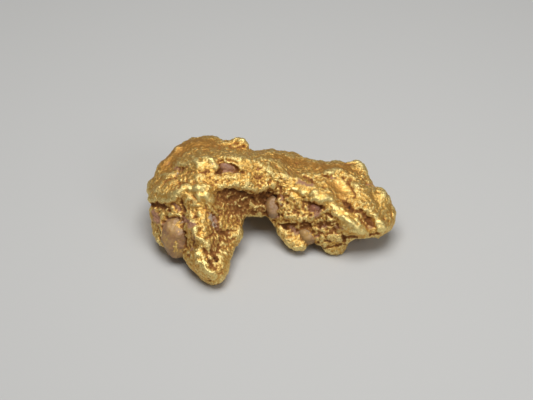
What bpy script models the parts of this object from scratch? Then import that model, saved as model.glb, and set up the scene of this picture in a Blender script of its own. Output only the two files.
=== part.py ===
"""Gold nugget: a hook-shaped lump of native gold with quartz grains set in it."""

import math

import bmesh
import bpy
import numpy as np
from mathutils import Vector, noise
from mathutils.bvhtree import BVHTree

MM = 0.001

# The nugget is described as it shows from the front, 40 degrees above the ground and 118 mm off.
# seen(u, v, z) is the point at height z that shows u mm to the right and v mm up in that view.
VIEW_UP = math.radians(40)
VIEW_CENTRE = Vector((-0.41, 0.78, 3.0))
VIEW_DISTANCE = 118.4
EYE = VIEW_CENTRE + VIEW_DISTANCE * Vector((0, -math.cos(VIEW_UP), math.sin(VIEW_UP)))


def aim(u, v):
    across = VIEW_CENTRE + Vector((u, v * math.sin(VIEW_UP), v * math.cos(VIEW_UP)))
    return (across - EYE).normalized()


def seen(u, v, z):
    ray = aim(u, v)
    return EYE + ray * ((z - EYE.z) / ray.z)


# Masses of gold, each the hull of its corner points: those on the seen side (u, v, z) and those
# behind or below (x, y, z), in mm.
MASSES = {
    "left_lobe": (
        [(-9.7, 0.0, 3.2), (-9.5, -0.9, 2.6), (-9.2, -1.9, 1.9), (-9.05, -2.9, 1.2),
         (-8.4, -3.9, 0.8), (-7.4, -4.45, 0.7), (-6.6, -4.5, 0.9), (-6.0, -4.0, 1.5),
         (-7.6, -3.0, 2.2), (-6.8, -2.6, 2.7), (-9.5, 0.6, 3.5), (-8.5, 0.6, 4.3),
         (-7.3, 0.4, 4.8), (-6.7, 0.8, 5.0), (-5.9, 1.1, 5.3), (-5.0, 1.15, 5.5),
         (-4.3, 0.8, 5.3), (-4.0, 0.1, 4.8), (-4.6, -0.4, 4.4)],
        [(-8.6, 1.0, 0.7), (-9.2, 0.8, 2.0), (-6.7, -1.2, -0.4), (-7.6, -2.2, 0.0), (-5.9, -0.6, -0.3),
         (-5.2, 0.5, 0.6), (-7.0, 2.0, 0.5), (-5.0, 2.0, 2.0)],
    ),
    "left_back": (
        [(-9.6, 0.3, 3.3), (-8.4, 0.5, 4.2), (-7.0, 0.7, 4.7), (-9.35, 1.0, 3.6), (-8.85, 2.0, 4.0), (-8.35, 3.1, 4.2), (-7.6, 3.85, 4.3),
         (-6.95, 4.45, 4.5), (-6.5, 4.95, 4.6), (-5.8, 5.2, 4.9), (-4.5, 5.15, 5.0),
         (-3.9, 4.9, 4.9), (-5.9, 3.2, 5.9), (-5.0, 3.1, 6.2), (-4.2, 2.9, 6.3),
         (-6.6, 2.0, 5.3), (-8.0, 1.2, 4.6), (-5.8, 1.6, 5.4), (-4.5, 1.6, 5.5)],
        [(-8.2, 2.0, 1.2), (-7.3, 4.0, 1.3), (-5.5, 5.4, 1.6), (-4.2, 5.1, 2.2), (-5.5, 2.5, 0.8),
         (-6.0, 6.4, 3.1), (-7.6, 4.9, 2.8), (-8.8, 3.0, 2.5), (-4.5, 6.2, 3.2)],
    ),
    "crest": (
        [(-5.9, 3.2, 5.9), (-4.8, 3.3, 6.2), (-3.0, 3.4, 6.3), (-1.5, 3.3, 6.1), (0.0, 3.0, 5.8),
         (1.0, 2.4, 5.3), (1.9, 1.7, 4.8), (-4.0, 1.5, 5.3), (-3.2, 1.1, 5.0), (-2.0, 1.0, 4.8),
         (-0.9, 0.8, 4.5), (0.3, 1.0, 4.4), (1.3, 1.0, 4.3), (-4.0, 4.3, 5.0), (-1.5, 3.9, 4.6),
         (0.5, 3.9, 4.2), (2.2, 3.5, 4.0), (-4.9, 1.4, 5.3), (-4.2, 0.8, 4.9)],
        [(-4.0, 1.5, 3.2), (-2.0, 1.5, 3.0), (0.0, 2.0, 2.8), (1.5, 2.5, 2.5), (0.0, 4.5, 2.2),
         (-2.0, 4.0, 2.6), (-4.5, 4.5, 2.6)],
    ),
    "bridge": (
        [(-4.2, -0.2, 3.9), (-2.9, -0.4, 2.9), (-2.4, -1.45, 2.1), (-1.4, -1.5, 2.0),
         (-0.2, -1.25, 2.1), (0.9, -0.5, 2.6), (0.9, 0.6, 3.6), (-1.0, 0.6, 3.6), (-4.2, 0.9, 4.6)],
        [(-3.0, 2.5, 3.5), (0.5, 3.0, 3.5), (-2.5, 1.8, 2.2), (0.5, 2.2, 2.0), (-1.0, 1.5, 2.0)],
    ),
    "inner_flank": (
        [(-4.6, -0.2, 4.5), (-3.6, -0.2, 4.0), (-2.7, -0.4, 3.3), (-1.95, -1.4, 2.3),
         (-2.1, -2.2, 1.9), (-2.25, -3.1, 1.5), (-2.4, -3.8, 1.3), (-4.0, -2.5, 2.8),
         (-5.0, -1.5, 3.8)],
        [(-3.2, 0.5, 1.0), (-4.5, -0.5, 0.2), (-3.4, -0.8, 0.3), (-5.5, 0.0, 0.2), (-3.0, 1.5, 2.5)],
    ),
    "leg_upper": (
        [(-6.1, -1.3, 3.9), (-5.8, -2.3, 3.5), (-5.3, -3.2, 3.1), (-4.8, -3.9, 2.7),
         (-4.5, -3.3, 2.9), (-5.0, -1.2, 4.0), (-4.3, -2.6, 3.0), (-6.0, -3.0, 2.7),
         (-5.6, -3.9, 2.2), (-4.0, -3.9, 2.0), (-3.2, -3.2, 1.9), (-2.8, -3.6, 1.4)],
        [(-5.5, -3.0, 0.4), (-4.0, -2.5, 0.4), (-5.8, -1.5, 0.3), (-3.8, -3.6, 0.5)],
    ),
    "leg_lower": (
        [(-6.45, -4.6, 1.5), (-6.2, -4.2, 1.6), (-2.5, -3.5, 1.4), (-6.0, -4.1, 2.1), (-5.4, -4.1, 2.5), (-5.2, -4.8, 2.2),
         (-4.8, -5.5, 1.8), (-4.4, -6.0, 1.5), (-6.5, -4.9, 1.2), (-5.95, -5.5, 1.0),
         (-5.25, -6.2, 0.7), (-4.7, -6.75, 0.5), (-4.2, -6.95, 0.5), (-3.7, -6.9, 0.6),
         (-3.15, -6.45, 0.9), (-3.1, -5.6, 1.1), (-3.05, -5.0, 1.3), (-2.85, -4.4, 1.4),
         (-2.55, -3.9, 1.5), (-3.8, -4.4, 2.2), (-3.6, -5.2, 1.8)],
        [(-4.4, -6.2, 0.1), (-5.5, -4.5, 0.3), (-3.8, -4.0, 0.3), (-5.0, -3.0, 0.3)],
    ),
    "back_rim": (
        [(-1.25, 3.75, 4.0), (-0.6, 4.1, 4.1), (0.5, 4.15, 4.1), (1.5, 3.95, 4.0),
         (2.3, 3.75, 3.9), (2.85, 3.4, 3.9), (1.5, 3.0, 4.4), (0.0, 3.2, 4.8)],
        [(-1.0, 5.5, 2.2), (1.2, 5.8, 1.8), (0.0, 4.6, 0.8), (1.6, 4.5, -0.3), (0.2, 4.3, -0.3),
         (0.9, 3.5, -0.3), (3.0, 4.3, 1.6), (2.2, 3.5, 1.0), (-0.5, 3.0, 2.0),
         (0.5, 6.2, 3.0), (-0.8, 5.8, 3.0), (2.2, 5.5, 2.8)],
    ),
    "arm_root": (
        [(0.3, 0.1, 3.4), (0.0, -1.0, 2.5), (-0.15, -1.7, 1.9), (0.4, -2.25, 1.5),
         (1.3, -2.9, 1.0), (0.9, 0.5, 3.7), (1.3, 0.9, 4.3), (2.2, 0.7, 4.3), (2.1, 0.0, 4.0), (1.5, -1.2, 2.7),
         (1.8, -2.0, 2.1)],
        [(0.5, 0.5, 0.8), (1.5, 1.5, 0.5), (1.5, -1.0, 0.5), (1.0, 2.5, 1.5)],
    ),
    "arm_plate": (
        [(1.7, 1.7, 4.7), (2.6, 1.2, 4.6), (3.3, 0.6, 4.5), (4.2, 0.2, 4.3), (5.1, 0.15, 4.2),
         (5.6, -0.6, 3.8), (6.2, -1.3, 3.5), (6.9, -1.95, 3.1), (2.8, 3.35, 3.9),
         (3.7, 3.45, 4.0), (4.4, 3.05, 4.0), (5.1, 2.8, 3.9), (6.2, 2.9, 3.9), (4.8, 2.0, 4.5),
         (6.2, 2.2, 4.5), (7.0, 1.8, 4.3), (7.0, 0.2, 3.9), (1.9, 3.4, 3.9), (1.6, 2.6, 4.4)],
        [(2.0, 3.5, 1.6), (4.5, 3.6, 1.6), (6.0, 3.3, 1.8), (3.0, 0.5, 1.2), (5.5, -0.5, 1.2),
         (6.5, -1.3, 1.4), (3.0, 4.9, 2.8), (5.0, 4.4, 2.7), (6.0, 4.1, 2.8)],
    ),
    "arm_face": (
        [(1.3, 0.4, 3.9), (2.1, 0.5, 4.2), (3.2, 0.0, 4.0), (4.6, -0.4, 3.8), (5.6, -1.0, 3.4),
         (6.0, -2.0, 2.7), (1.5, -1.6, 2.4), (3.0, -1.8, 2.5), (4.6, -1.8, 2.6), (5.9, -2.6, 2.1)],
        [(1.5, -1.0, 0.6), (3.5, -1.5, 0.3), (5.5, -1.2, 0.5), (4.0, 1.0, 0.8), (2.0, 1.0, 0.6)],
    ),
    "arm_foot_left": (
        [(1.6, -3.2, 1.0), (1.95, -3.9, 0.5), (2.9, -4.2, 0.3), (3.35, -3.6, 0.8),
         (3.9, -2.3, 2.0), (2.9, -2.2, 2.1), (2.0, -2.3, 1.9), (1.3, -2.75, 1.3)],
        [(2.3, -1.5, 0.1), (3.2, -1.5, -0.1), (2.0, -2.0, 0.2)],
    ),
    "arm_foot_right": (
        [(4.0, -3.3, 1.0), (4.2, -4.2, 0.4), (5.1, -4.5, 0.2), (5.95, -4.3, 0.3),
         (6.6, -3.8, 0.9), (6.0, -2.6, 2.0), (5.0, -2.3, 2.4), (4.1, -2.4, 2.0)],
        [(4.4, -1.5, -0.35), (5.4, -1.3, -0.3), (4.9, -2.1, -0.2), (5.9, -1.6, 0.4)],
    ),
    "ridge_end": (
        [(6.2, -1.4, 3.4), (6.9, -1.95, 3.15), (7.6, -2.4, 2.7), (6.5, -2.6, 2.3),
         (7.2, -3.0, 1.8), (5.9, -1.9, 2.9), (8.3, -3.15, 1.8), (7.0, -1.0, 3.2),
         (6.2, -3.7, 1.2), (7.7, -3.4, 1.4)],
        [(6.5, -1.4, 1.2), (7.8, -1.6, 1.1), (6.4, -0.5, 1.0)],
    ),
    "arm_end": (
        [(6.4, 0.0, 3.9), (7.1, 0.1, 4.0), (8.0, -0.6, 3.7), (8.9, -1.3, 3.2), (9.4, -2.2, 2.6),
         (8.3, -3.15, 1.7), (9.0, -2.85, 1.8), (9.65, -2.5, 2.0), (10.15, -1.9, 2.0),
         (10.45, -1.1, 2.1), (10.3, -0.55, 2.4), (9.7, -0.3, 2.9), (9.45, 0.35, 3.2),
         (9.0, 0.95, 3.4), (8.35, 1.6, 3.7), (7.2, 1.3, 4.3)],
        [(7.5, 1.5, 1.6), (9.0, 0.8, 1.6), (9.4, -0.6, 1.3), (8.2, -1.8, 1.1), (7.0, 0.0, 1.5)],
    ),
    "end_back": (
        [(7.2, 1.3, 4.3), (8.4, 1.65, 3.7), (8.2, 2.25, 3.8), (8.0, 2.75, 3.9), (7.5, 3.15, 4.2),
         (7.0, 3.3, 4.3), (6.4, 3.05, 4.1), (5.4, 2.8, 3.9), (5.8, 2.2, 4.5)],
        [(6.5, 4.0, 2.1), (7.6, 3.0, 1.9), (6.0, 2.5, 1.6), (8.0, 2.0, 1.8), (7.0, 4.5, 3.1),
         (7.9, 3.3, 2.9)],
    ),
}

# Small round masses: (u, v, z) of the centre and the half size along x, y, z, in mm.
LUMPS = {
    "knob": ((-2.1, 4.15, 4.4), (0.72, 0.85, 0.85)),
    "neck": ((-3.2, 4.0, 4.3), (1.2, 0.85, 0.85)),
    "flank_knob": ((-2.35, -2.6, 2.0), (0.48, 0.4, 0.36)),
    "tip_knob": ((10.15, -0.95, 2.2), (0.4, 0.5, 0.42)),
}

# Grains of quartz: (u, v) of the middle, how deep it sits under the skin, half size across, up and
# along the line of sight, how far out from the middle its flat faces lie (share of the half size),
# and how finely it is faceted.
GRAINS = {
    "quartz_pebble": ((-7.05, -2.95), 0.66, (1.34, 1.66, 0.92), (0.94, 0.93, 0.95), 3),
    "quartz_grain_arm": ((3.30, -2.80), 0.30, (0.66, 0.70, 0.52), (0.72, 0.78, 0.70), 2),
    "quartz_grain_crown": ((-3.05, 2.62), 0.36, (0.72, 0.42, 0.45), (0.75, 0.70, 0.80), 2),
    "quartz_grain_bay": ((0.55, -0.62), 0.38, (0.52, 0.84, 0.50), (0.80, 0.74, 0.78), 2),
    "quartz_grain_pink": ((3.90, -0.66), 0.30, (0.56, 0.36, 0.40), (0.74, 0.80, 0.72), 2),
}
SEAT_GAP = 0.3 * MM

HIDDEN_MARKS = 60
HIDDEN_SEED = 5

VOXEL = 0.15 * MM
GOLD_TRIANGLES = 7900

# Forms worked into the skin along paths on the seen side. Each is (half width, height, path of
# (u, v)), in mm: a height above 0 is a ridge, below 0 a furrow, and a path of one point a boss or pit.
STROKES = [
    # left lobe: lip over a dark cavity, crack, bright boss and the valley behind it
    (0.28, -0.26, [(-9.2, -0.4), (-8.6, -0.45), (-8.0, -0.5)]),
    (0.25, 0.18, [(-9.4, 0.1), (-8.5, 0.05), (-7.7, 0.0), (-7.3, 0.2)]),
    (0.20, -0.24, [(-6.95, -0.15), (-6.65, -0.6), (-6.5, -1.2)]),
    (0.25, -0.18, [(-8.0, -1.0), (-7.4, -0.8), (-6.9, -0.9)]),
    (0.32, 0.28, [(-6.9, 0.5), (-6.5, 0.8), (-5.9, 0.95), (-5.0, 1.0), (-4.3, 0.75), (-4.0, 0.2)]),
    (0.28, 0.18, [(-5.1, 0.8), (-4.9, 0.3), (-5.0, -0.1)]),
    (0.45, -0.20, [(-5.75, 0.3)]),
    (0.16, -0.20, [(-8.5, 1.55), (-7.9, 1.68), (-7.4, 1.75)]),
    (0.22, 0.18, [(-8.5, 1.8), (-7.9, 2.0), (-7.4, 2.0)]),
    (0.45, -0.22, [(-8.3, 2.5), (-7.2, 2.2), (-6.5, 1.8), (-5.8, 2.2)]),
    (0.28, -0.22, [(-6.6, 2.5)]),
    (0.20, 0.15, [(-7.1, 2.8), (-6.6, 2.85)]),
    (0.35, 0.20, [(-5.8, 2.6), (-5.6, 3.2), (-5.0, 3.3), (-4.2, 3.1)]),
    (0.35, 0.15, [(-5.9, 4.8), (-5.0, 4.6), (-4.2, 4.9)]),
    # crown: quartz hollow, its dark corner, ridges and the broken overhanging edge
    (0.42, -0.22, [(-3.45, 2.55), (-2.75, 2.55)]),
    (0.22, -0.24, [(-3.9, 2.2), (-3.7, 2.2)]),
    (0.18, -0.18, [(-5.1, 2.2), (-4.65, 2.25)]),
    (0.22, 0.18, [(-4.0, 1.9), (-3.0, 1.8), (-2.2, 2.0), (-1.4, 2.1)]),
    (0.22, -0.16, [(-4.6, 1.7), (-3.6, 1.5), (-2.6, 1.55)]),
    (0.22, 0.25, [(-3.8, 1.15), (-3.2, 1.25), (-2.4, 1.2), (-1.9, 1.1)]),
    (0.22, 0.25, [(-1.5, 1.0), (-1.0, 0.95), (-0.6, 0.8), (-0.3, 0.95)]),
    (0.20, 0.15, [(0.2, 1.1), (0.8, 1.15), (1.4, 1.2)]),
    (0.16, 0.16, [(-1.8, 1.1), (-1.6, 1.5), (-1.5, 1.8), (-1.2, 2.1)]),
    (0.22, -0.22, [(-1.85, 1.45)]),
    (0.30, -0.22, [(-0.8, 1.8), (-0.3, 1.7)]),
    (0.28, -0.20, [(0.3, 1.5)]),
    (0.20, 0.20, [(-0.3, 2.7), (0.2, 2.3), (0.8, 2.0), (1.5, 1.8)]),
    (0.25, -0.20, [(-1.0, 2.5), (-0.4, 2.5)]),
    (0.28, -0.18, [(0.5, 2.5), (1.0, 2.4)]),
    (0.38, -0.36, [(-3.5, 0.65), (-2.6, 0.6), (-1.6, 0.45), (-0.4, 0.4), (0.5, 0.5)]),
    (0.28, 0.22, [(-2.3, 0.1), (-1.8, 0.2)]),
    (0.20, 0.18, [(-1.6, -0.4), (-0.6, -0.7)]),
    # knob, neck and back slopes
    (0.30, -0.18, [(-1.9, 4.25)]),
    (0.20, -0.24, [(-2.85, 3.8)]),
    (0.30, 0.15, [(-1.6, 4.5), (-1.5, 4.0)]),
    (0.40, -0.25, [(3.1, 1.6), (3.6, 1.4)]),
    (0.20, -0.18, [(4.65, 1.85), (4.9, 1.85)]),
    (0.17, -0.16, [(6.1, 1.85)]),
    (0.22, 0.16, [(5.0, 2.15), (5.6, 2.3), (6.2, 2.2)]),
    (0.70, -0.28, [(5.6, 1.1), (6.1, 0.8)]),
    (0.22, -0.18, [(6.5, 1.5), (6.9, 0.8), (7.1, 0.3)]),
    (0.16, -0.15, [(2.3, 2.9)]),
    (0.16, -0.15, [(3.5, 3.1)]),
    (0.45, 0.18, [(1.0, 3.5), (2.0, 3.3)]),
    (0.30, -0.15, [(2.6, 3.0), (3.0, 2.4), (4.2, 2.3)]),
    (0.30, 0.15, [(7.3, 2.9), (7.9, 2.5), (8.1, 2.0)]),
    (0.35, -0.15, [(7.0, 2.4)]),
    # arm: long bright ridge, the gully and outer ridge beside it
    (0.32, 0.26, [(1.8, 1.4), (2.2, 1.0), (2.9, 0.6), (3.5, 0.3), (4.3, 0.15), (5.0, 0.1)]),
    (0.30, 0.26, [(5.1, 0.0), (5.5, -0.6), (6.1, -1.25), (6.8, -1.85), (7.5, -2.3), (8.2, -2.75)]),
    (0.32, -0.20, [(3.4, -0.55), (4.3, -0.6)]),
    (0.35, -0.24, [(6.3, -0.4), (6.8, -0.9), (7.3, -1.2), (7.9, -1.8), (8.3, -2.2)]),
    (0.30, -0.10, [(6.6, -0.55)]),
    (0.35, -0.10, [(8.1, -1.6), (8.5, -2.0)]),
    (0.25, 0.24, [(7.3, -0.3), (7.9, -0.8), (8.6, -1.2), (9.0, -1.8), (9.2, -2.4)]),
    (0.30, -0.12, [(9.4, -1.4)]),
    (0.30, -0.12, [(8.3, 0.4), (8.7, 0.2)]),
    # arm face: shelves, pockets and foot lumps
    (0.24, -0.20, [(1.1, -1.95), (2.0, -1.9), (3.0, -1.95), (3.9, -2.1)]),
    (0.30, -0.18, [(1.5, -2.2)]),
    (0.22, 0.18, [(1.4, -0.8), (2.2, -1.3), (3.2, -1.4), (4.2, -1.2)]),
    (0.25, -0.20, [(1.6, -0.4), (2.4, -0.6)]),
    (0.20, 0.18, [(4.7, -0.5), (5.0, -1.0), (5.3, -1.5)]),
    (0.18, -0.15, [(4.1, -2.5), (4.8, -2.6), (5.5, -2.5)]),
    (0.22, 0.18, [(4.2, -3.0), (5.0, -3.1), (5.8, -2.9)]),
    (0.18, -0.14, [(4.4, -3.5), (5.2, -3.55), (5.8, -3.4)]),
    (0.25, -0.20, [(6.1, -3.0), (6.6, -2.95), (7.2, -2.9)]),
    (0.30, -0.28, [(3.5, -3.4)]),
    (0.25, 0.20, [(2.0, -3.4), (2.6, -3.6)]),
    (0.22, -0.16, [(5.2, -1.9), (5.8, -2.1)]),
    # leg: two crooked ridges with a step between them, pits on the right
    (0.28, 0.30, [(-5.95, -1.4), (-5.8, -2.2), (-5.5, -2.9), (-5.1, -3.4), (-4.75, -3.8)]),
    (0.20, 0.18, [(-5.05, -1.1), (-4.9, -1.9), (-4.9, -2.6), (-4.75, -3.3)]),
    (0.18, -0.20, [(-5.45, -1.6), (-5.35, -2.4), (-5.2, -2.9)]),
    (0.20, -0.20, [(-5.0, -4.0), (-4.4, -4.0)]),
    (0.26, 0.28, [(-5.5, -4.1), (-5.5, -4.6), (-5.2, -5.2), (-4.8, -5.7), (-4.3, -6.0)]),
    (0.28, -0.26, [(-4.1, -4.4), (-4.0, -4.7)]),
    (0.26, -0.20, [(-4.6, -4.9), (-4.4, -5.3)]),
    (0.18, -0.18, [(-6.3, -4.5)]),
    (0.25, -0.22, [(-6.1, -1.8), (-5.95, -2.8), (-5.75, -3.6)]),
    (0.40, -0.18, [(-4.2, -1.6), (-4.2, -2.1)]),
    (0.25, -0.20, [(-3.8, -2.5), (-3.3, -2.75)]),
    (0.20, 0.16, [(-4.6, -0.6), (-4.2, -0.9), (-3.9, -1.2)]),
    (0.20, 0.16, [(-3.6, -0.5), (-3.2, -1.0)]),
    (0.30, 0.12, [(-3.5, -3.6)]),
    (0.22, -0.15, [(-4.6, -6.4)]),
]


def clear():
    for obj in list(bpy.data.objects):
        bpy.data.objects.remove(obj)


def masses_mesh():
    bm = bmesh.new()
    for front, rest in MASSES.values():
        corners = [seen(*point) for point in front] + [Vector(point) for point in rest]
        verts = [bm.verts.new(corner * MM) for corner in corners]
        hull = bmesh.ops.convex_hull(bm, input=verts)
        inner = [v for v in hull["geom_interior"] if isinstance(v, bmesh.types.BMVert)]
        bmesh.ops.delete(bm, geom=inner, context="VERTS")
    for centre, half in LUMPS.values():
        ball = bmesh.ops.create_icosphere(bm, subdivisions=4, radius=1)["verts"]
        for vert in ball:
            vert.co = (seen(*centre) + Vector(c * h for c, h in zip(vert.co, half))) * MM
    mesh = bpy.data.meshes.new("gold_nugget")
    bm.to_mesh(mesh)
    bm.free()
    return mesh


def evaluated(obj):
    graph = bpy.context.evaluated_depsgraph_get()
    return bpy.data.meshes.new_from_object(obj.evaluated_get(graph))


def path_distance(points, path):
    """Distance of each point to the polyline."""
    if len(path) == 1:
        return np.linalg.norm(points - path[0], axis=1)
    best = np.full(len(points), np.inf)
    for start, end in zip(path[:-1], path[1:]):
        run = end - start
        along = np.clip((points - start) @ run / (run @ run), 0, 1)
        best = np.minimum(best, np.linalg.norm(points - start - along[:, None] * run, axis=1))
    return best


def mesh_arrays(mesh):
    """Vertex positions in mm and normals."""
    points = np.empty(len(mesh.vertices) * 3)
    mesh.vertices.foreach_get("co", points)
    normals = np.empty(len(points))
    mesh.vertices.foreach_get("normal", normals)
    return points.reshape(-1, 3) / MM, normals.reshape(-1, 3)


def move(mesh, points):
    mesh.vertices.foreach_set("co", (points * MM).ravel())
    mesh.update()


def skin_tree(mesh):
    points, _ = mesh_arrays(mesh)
    return BVHTree.FromPolygons(points.tolist(), [tuple(p.vertices) for p in mesh.polygons])


def work_strokes(mesh):
    """Push the skin along its normals by the strokes."""
    points, normals = mesh_arrays(mesh)
    tree = skin_tree(mesh)
    push = np.zeros(len(points))
    for width, height, path in STROKES:
        hits = [tree.ray_cast(EYE, aim(u, v))[0] for u, v in path]
        path = [np.array(hit) for hit in hits if hit is not None]
        push += height * np.exp(-((path_distance(points, path) / width) ** 2))
    move(mesh, points + push[:, None] * normals)


def roughen(mesh):
    """Uneven lumps and dimples everywhere, stronger on the back and the underside."""
    points, normals = mesh_arrays(mesh)
    towards_eye = normals @ np.array(-aim(0, 0))
    hidden = np.clip(0.5 - 2.0 * towards_eye, 0, 1)
    wide = np.array([noise.noise(Vector(p) / 2.1) for p in points])
    mid = np.array([noise.noise(Vector(p) / 0.9 + Vector((7, 3, 1))) for p in points])
    fine = np.array([noise.noise(Vector(p) / 0.45 + Vector((2, 9, 4))) for p in points])
    dimples = np.clip(mid - 0.12, 0, None)
    push = hidden * (0.55 * wide + 0.25 * mid - 0.6 * dimples) + 0.14 * wide + 0.10 * mid + 0.08 * fine
    move(mesh, points + push[:, None] * normals)


def weather_back(mesh):
    """Dents and bosses on the sides that the strokes leave out."""
    points, normals = mesh_arrays(mesh)
    turned_away = np.clip(-2 * normals @ np.array(-aim(0, 0)), 0, 1)
    hidden = np.flatnonzero(turned_away > 0.4)
    rng = np.random.default_rng(HIDDEN_SEED)
    push = np.zeros(len(points))
    for _ in range(HIDDEN_MARKS):
        spot = points[rng.choice(hidden)]
        width = rng.uniform(0.35, 0.9)
        height = width * rng.choice([-0.55, -0.45, 0.4])
        push += height * np.exp(-((path_distance(points, [spot]) / width) ** 2))
    move(mesh, points + (push * turned_away)[:, None] * normals)


def grain_mesh(name, tree):
    """A quartz grain: a rounded lump with three worn flat faces, sunk in the skin."""
    (u, v), sunk, half, flats, detail = GRAINS[name]
    sight = aim(u, v)
    centre = tree.ray_cast(EYE, sight)[0] + sight * sunk
    right = Vector((1, 0, 0))
    up = right.cross(sight).normalized()
    slants = [Vector((0.25, 0.3, 0.92)), Vector((0.85, 0.4, 0.35)), Vector((-0.8, -0.5, 0.35))]
    bm = bmesh.new()
    bmesh.ops.create_icosphere(bm, subdivisions=detail, radius=1)
    for vert in bm.verts:
        local = vert.co.copy()
        for slant, reach in zip(slants, flats):
            normal = slant.normalized()
            over = local.dot(normal) - reach
            if over > 0:
                local -= normal * over * 0.85
        local *= 1 + 0.05 * noise.noise(local * 1.7 + Vector((u, v, 0)))
        offset = right * local.x * half[0] + up * local.y * half[1] - sight * local.z * half[2]
        vert.co = (centre + offset) * MM
    mesh = bpy.data.meshes.new(name)
    bm.to_mesh(mesh)
    bm.free()
    return mesh


def swollen(mesh, name, gap):
    """A copy of the mesh with its skin moved out by the gap."""
    copy = mesh.copy()
    copy.name = name
    points, normals = mesh_arrays(copy)
    move(copy, points + normals * gap / MM)
    return copy


def one_skin(obj, rounds):
    """Melt the object into one outer skin and soften it."""
    remesh = obj.modifiers.new("one_skin", "REMESH")
    remesh.mode = "VOXEL"
    remesh.voxel_size = VOXEL
    melt = obj.modifiers.new("melt", "SMOOTH")
    melt.factor = 0.5
    melt.iterations = rounds
    obj.data = evaluated(obj)
    obj.modifiers.clear()
    keep_largest(obj.data)


def keep_largest(mesh):
    """Drop the small closed bubbles that are left inside where masses meet."""
    bm = bmesh.new()
    bm.from_mesh(mesh)
    loose = set(bm.verts)
    groups = []
    while loose:
        group = {loose.pop()}
        front = list(group)
        while front:
            near = {e.other_vert(v) for v in front for e in v.link_edges} & loose
            loose -= near
            group |= near
            front = list(near)
        groups.append(group)
    groups.sort(key=len)
    bmesh.ops.delete(bm, geom=[v for group in groups[:-1] for v in group], context="VERTS")
    bm.to_mesh(mesh)
    bm.free()


def material(name, colour, roughness, metallic):
    mat = bpy.data.materials.new(name)
    mat.use_nodes = True
    shader = mat.node_tree.nodes["Principled BSDF"]
    shader.inputs["Base Color"].default_value = (*colour, 1)
    shader.inputs["Roughness"].default_value = roughness
    shader.inputs["Metallic"].default_value = metallic
    return mat


def collection(name):
    group = bpy.data.collections.new(name)
    bpy.context.scene.collection.children.link(group)
    return group


def cut(obj, name, cutter):
    cutter.hide_render = True
    cutter.display_type = "WIRE"
    cutters.objects.link(cutter)
    boolean = obj.modifiers.new(name, "BOOLEAN")
    boolean.operation = "DIFFERENCE"
    boolean.object = cutter


clear()
pieces = collection("gold_nugget_pieces")
cutters = collection("gold_nugget_cutters")

# Gold body: the masses melted into one skin, then worked and roughened.
nugget = bpy.data.objects.new("gold_nugget", masses_mesh())
pieces.objects.link(nugget)
one_skin(nugget, 10)
work_strokes(nugget.data)
roughen(nugget.data)
weather_back(nugget.data)
one_skin(nugget, 1)
nugget.data.materials.append(material("gold", (0.83, 0.52, 0.13), 0.35, 1.0))

thin = nugget.modifiers.new("thin", "DECIMATE")
thin.ratio = GOLD_TRIANGLES / (2 * len(nugget.data.vertices))

# Small worn flats that it rests on.
ground_mesh = bpy.data.meshes.new("ground_cut")
bm = bmesh.new()
bmesh.ops.create_cube(bm, size=40 * MM)
bm.to_mesh(ground_mesh)
bm.free()
ground = bpy.data.objects.new("ground_cut", ground_mesh)
ground.location.z = -20 * MM
cut(nugget, "rest_flats", ground)

# Quartz grains, each in its own seat in the gold.
tree = skin_tree(nugget.data)
quartz = material("quartz", (0.55, 0.38, 0.26), 0.4, 0.0)
for name in GRAINS:
    grain = bpy.data.objects.new(name, grain_mesh(name, tree))
    grain.data.materials.append(quartz)
    pieces.objects.link(grain)
    seat = bpy.data.objects.new(name + "_seat", swollen(grain.data, name + "_seat", SEAT_GAP))
    cut(nugget, name + "_seat", seat)

# The origin is under the middle of the nugget, on the ground.
graph = bpy.context.evaluated_depsgraph_get()
corners = [Vector(c) for obj in pieces.objects for c in obj.evaluated_get(graph).bound_box]
middle = Vector((max(c[axis] for c in corners) + min(c[axis] for c in corners)) / 2 for axis in range(2))
base = bpy.data.objects.new("nugget_base", None)
pieces.objects.link(base)
for obj in [*pieces.objects, *cutters.objects]:
    if obj != base:
        obj.parent = base
base.location = (-middle.x, -middle.y, 0)
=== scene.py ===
import math

import bmesh
import bpy
import numpy as np
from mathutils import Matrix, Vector, noise
from mathutils.bvhtree import BVHTree


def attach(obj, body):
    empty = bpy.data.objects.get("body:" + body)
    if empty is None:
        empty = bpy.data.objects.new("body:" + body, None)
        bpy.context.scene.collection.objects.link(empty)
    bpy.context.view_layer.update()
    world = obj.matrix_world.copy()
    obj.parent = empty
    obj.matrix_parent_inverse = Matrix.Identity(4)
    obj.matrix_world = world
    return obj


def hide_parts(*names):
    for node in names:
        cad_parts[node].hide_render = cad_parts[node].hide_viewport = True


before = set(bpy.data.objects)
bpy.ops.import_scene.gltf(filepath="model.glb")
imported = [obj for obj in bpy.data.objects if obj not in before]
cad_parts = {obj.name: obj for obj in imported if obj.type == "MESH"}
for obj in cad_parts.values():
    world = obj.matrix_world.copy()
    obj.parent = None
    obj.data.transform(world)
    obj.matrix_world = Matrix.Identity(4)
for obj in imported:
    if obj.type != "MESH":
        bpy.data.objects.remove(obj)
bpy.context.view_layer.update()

MM = 0.001

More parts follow.
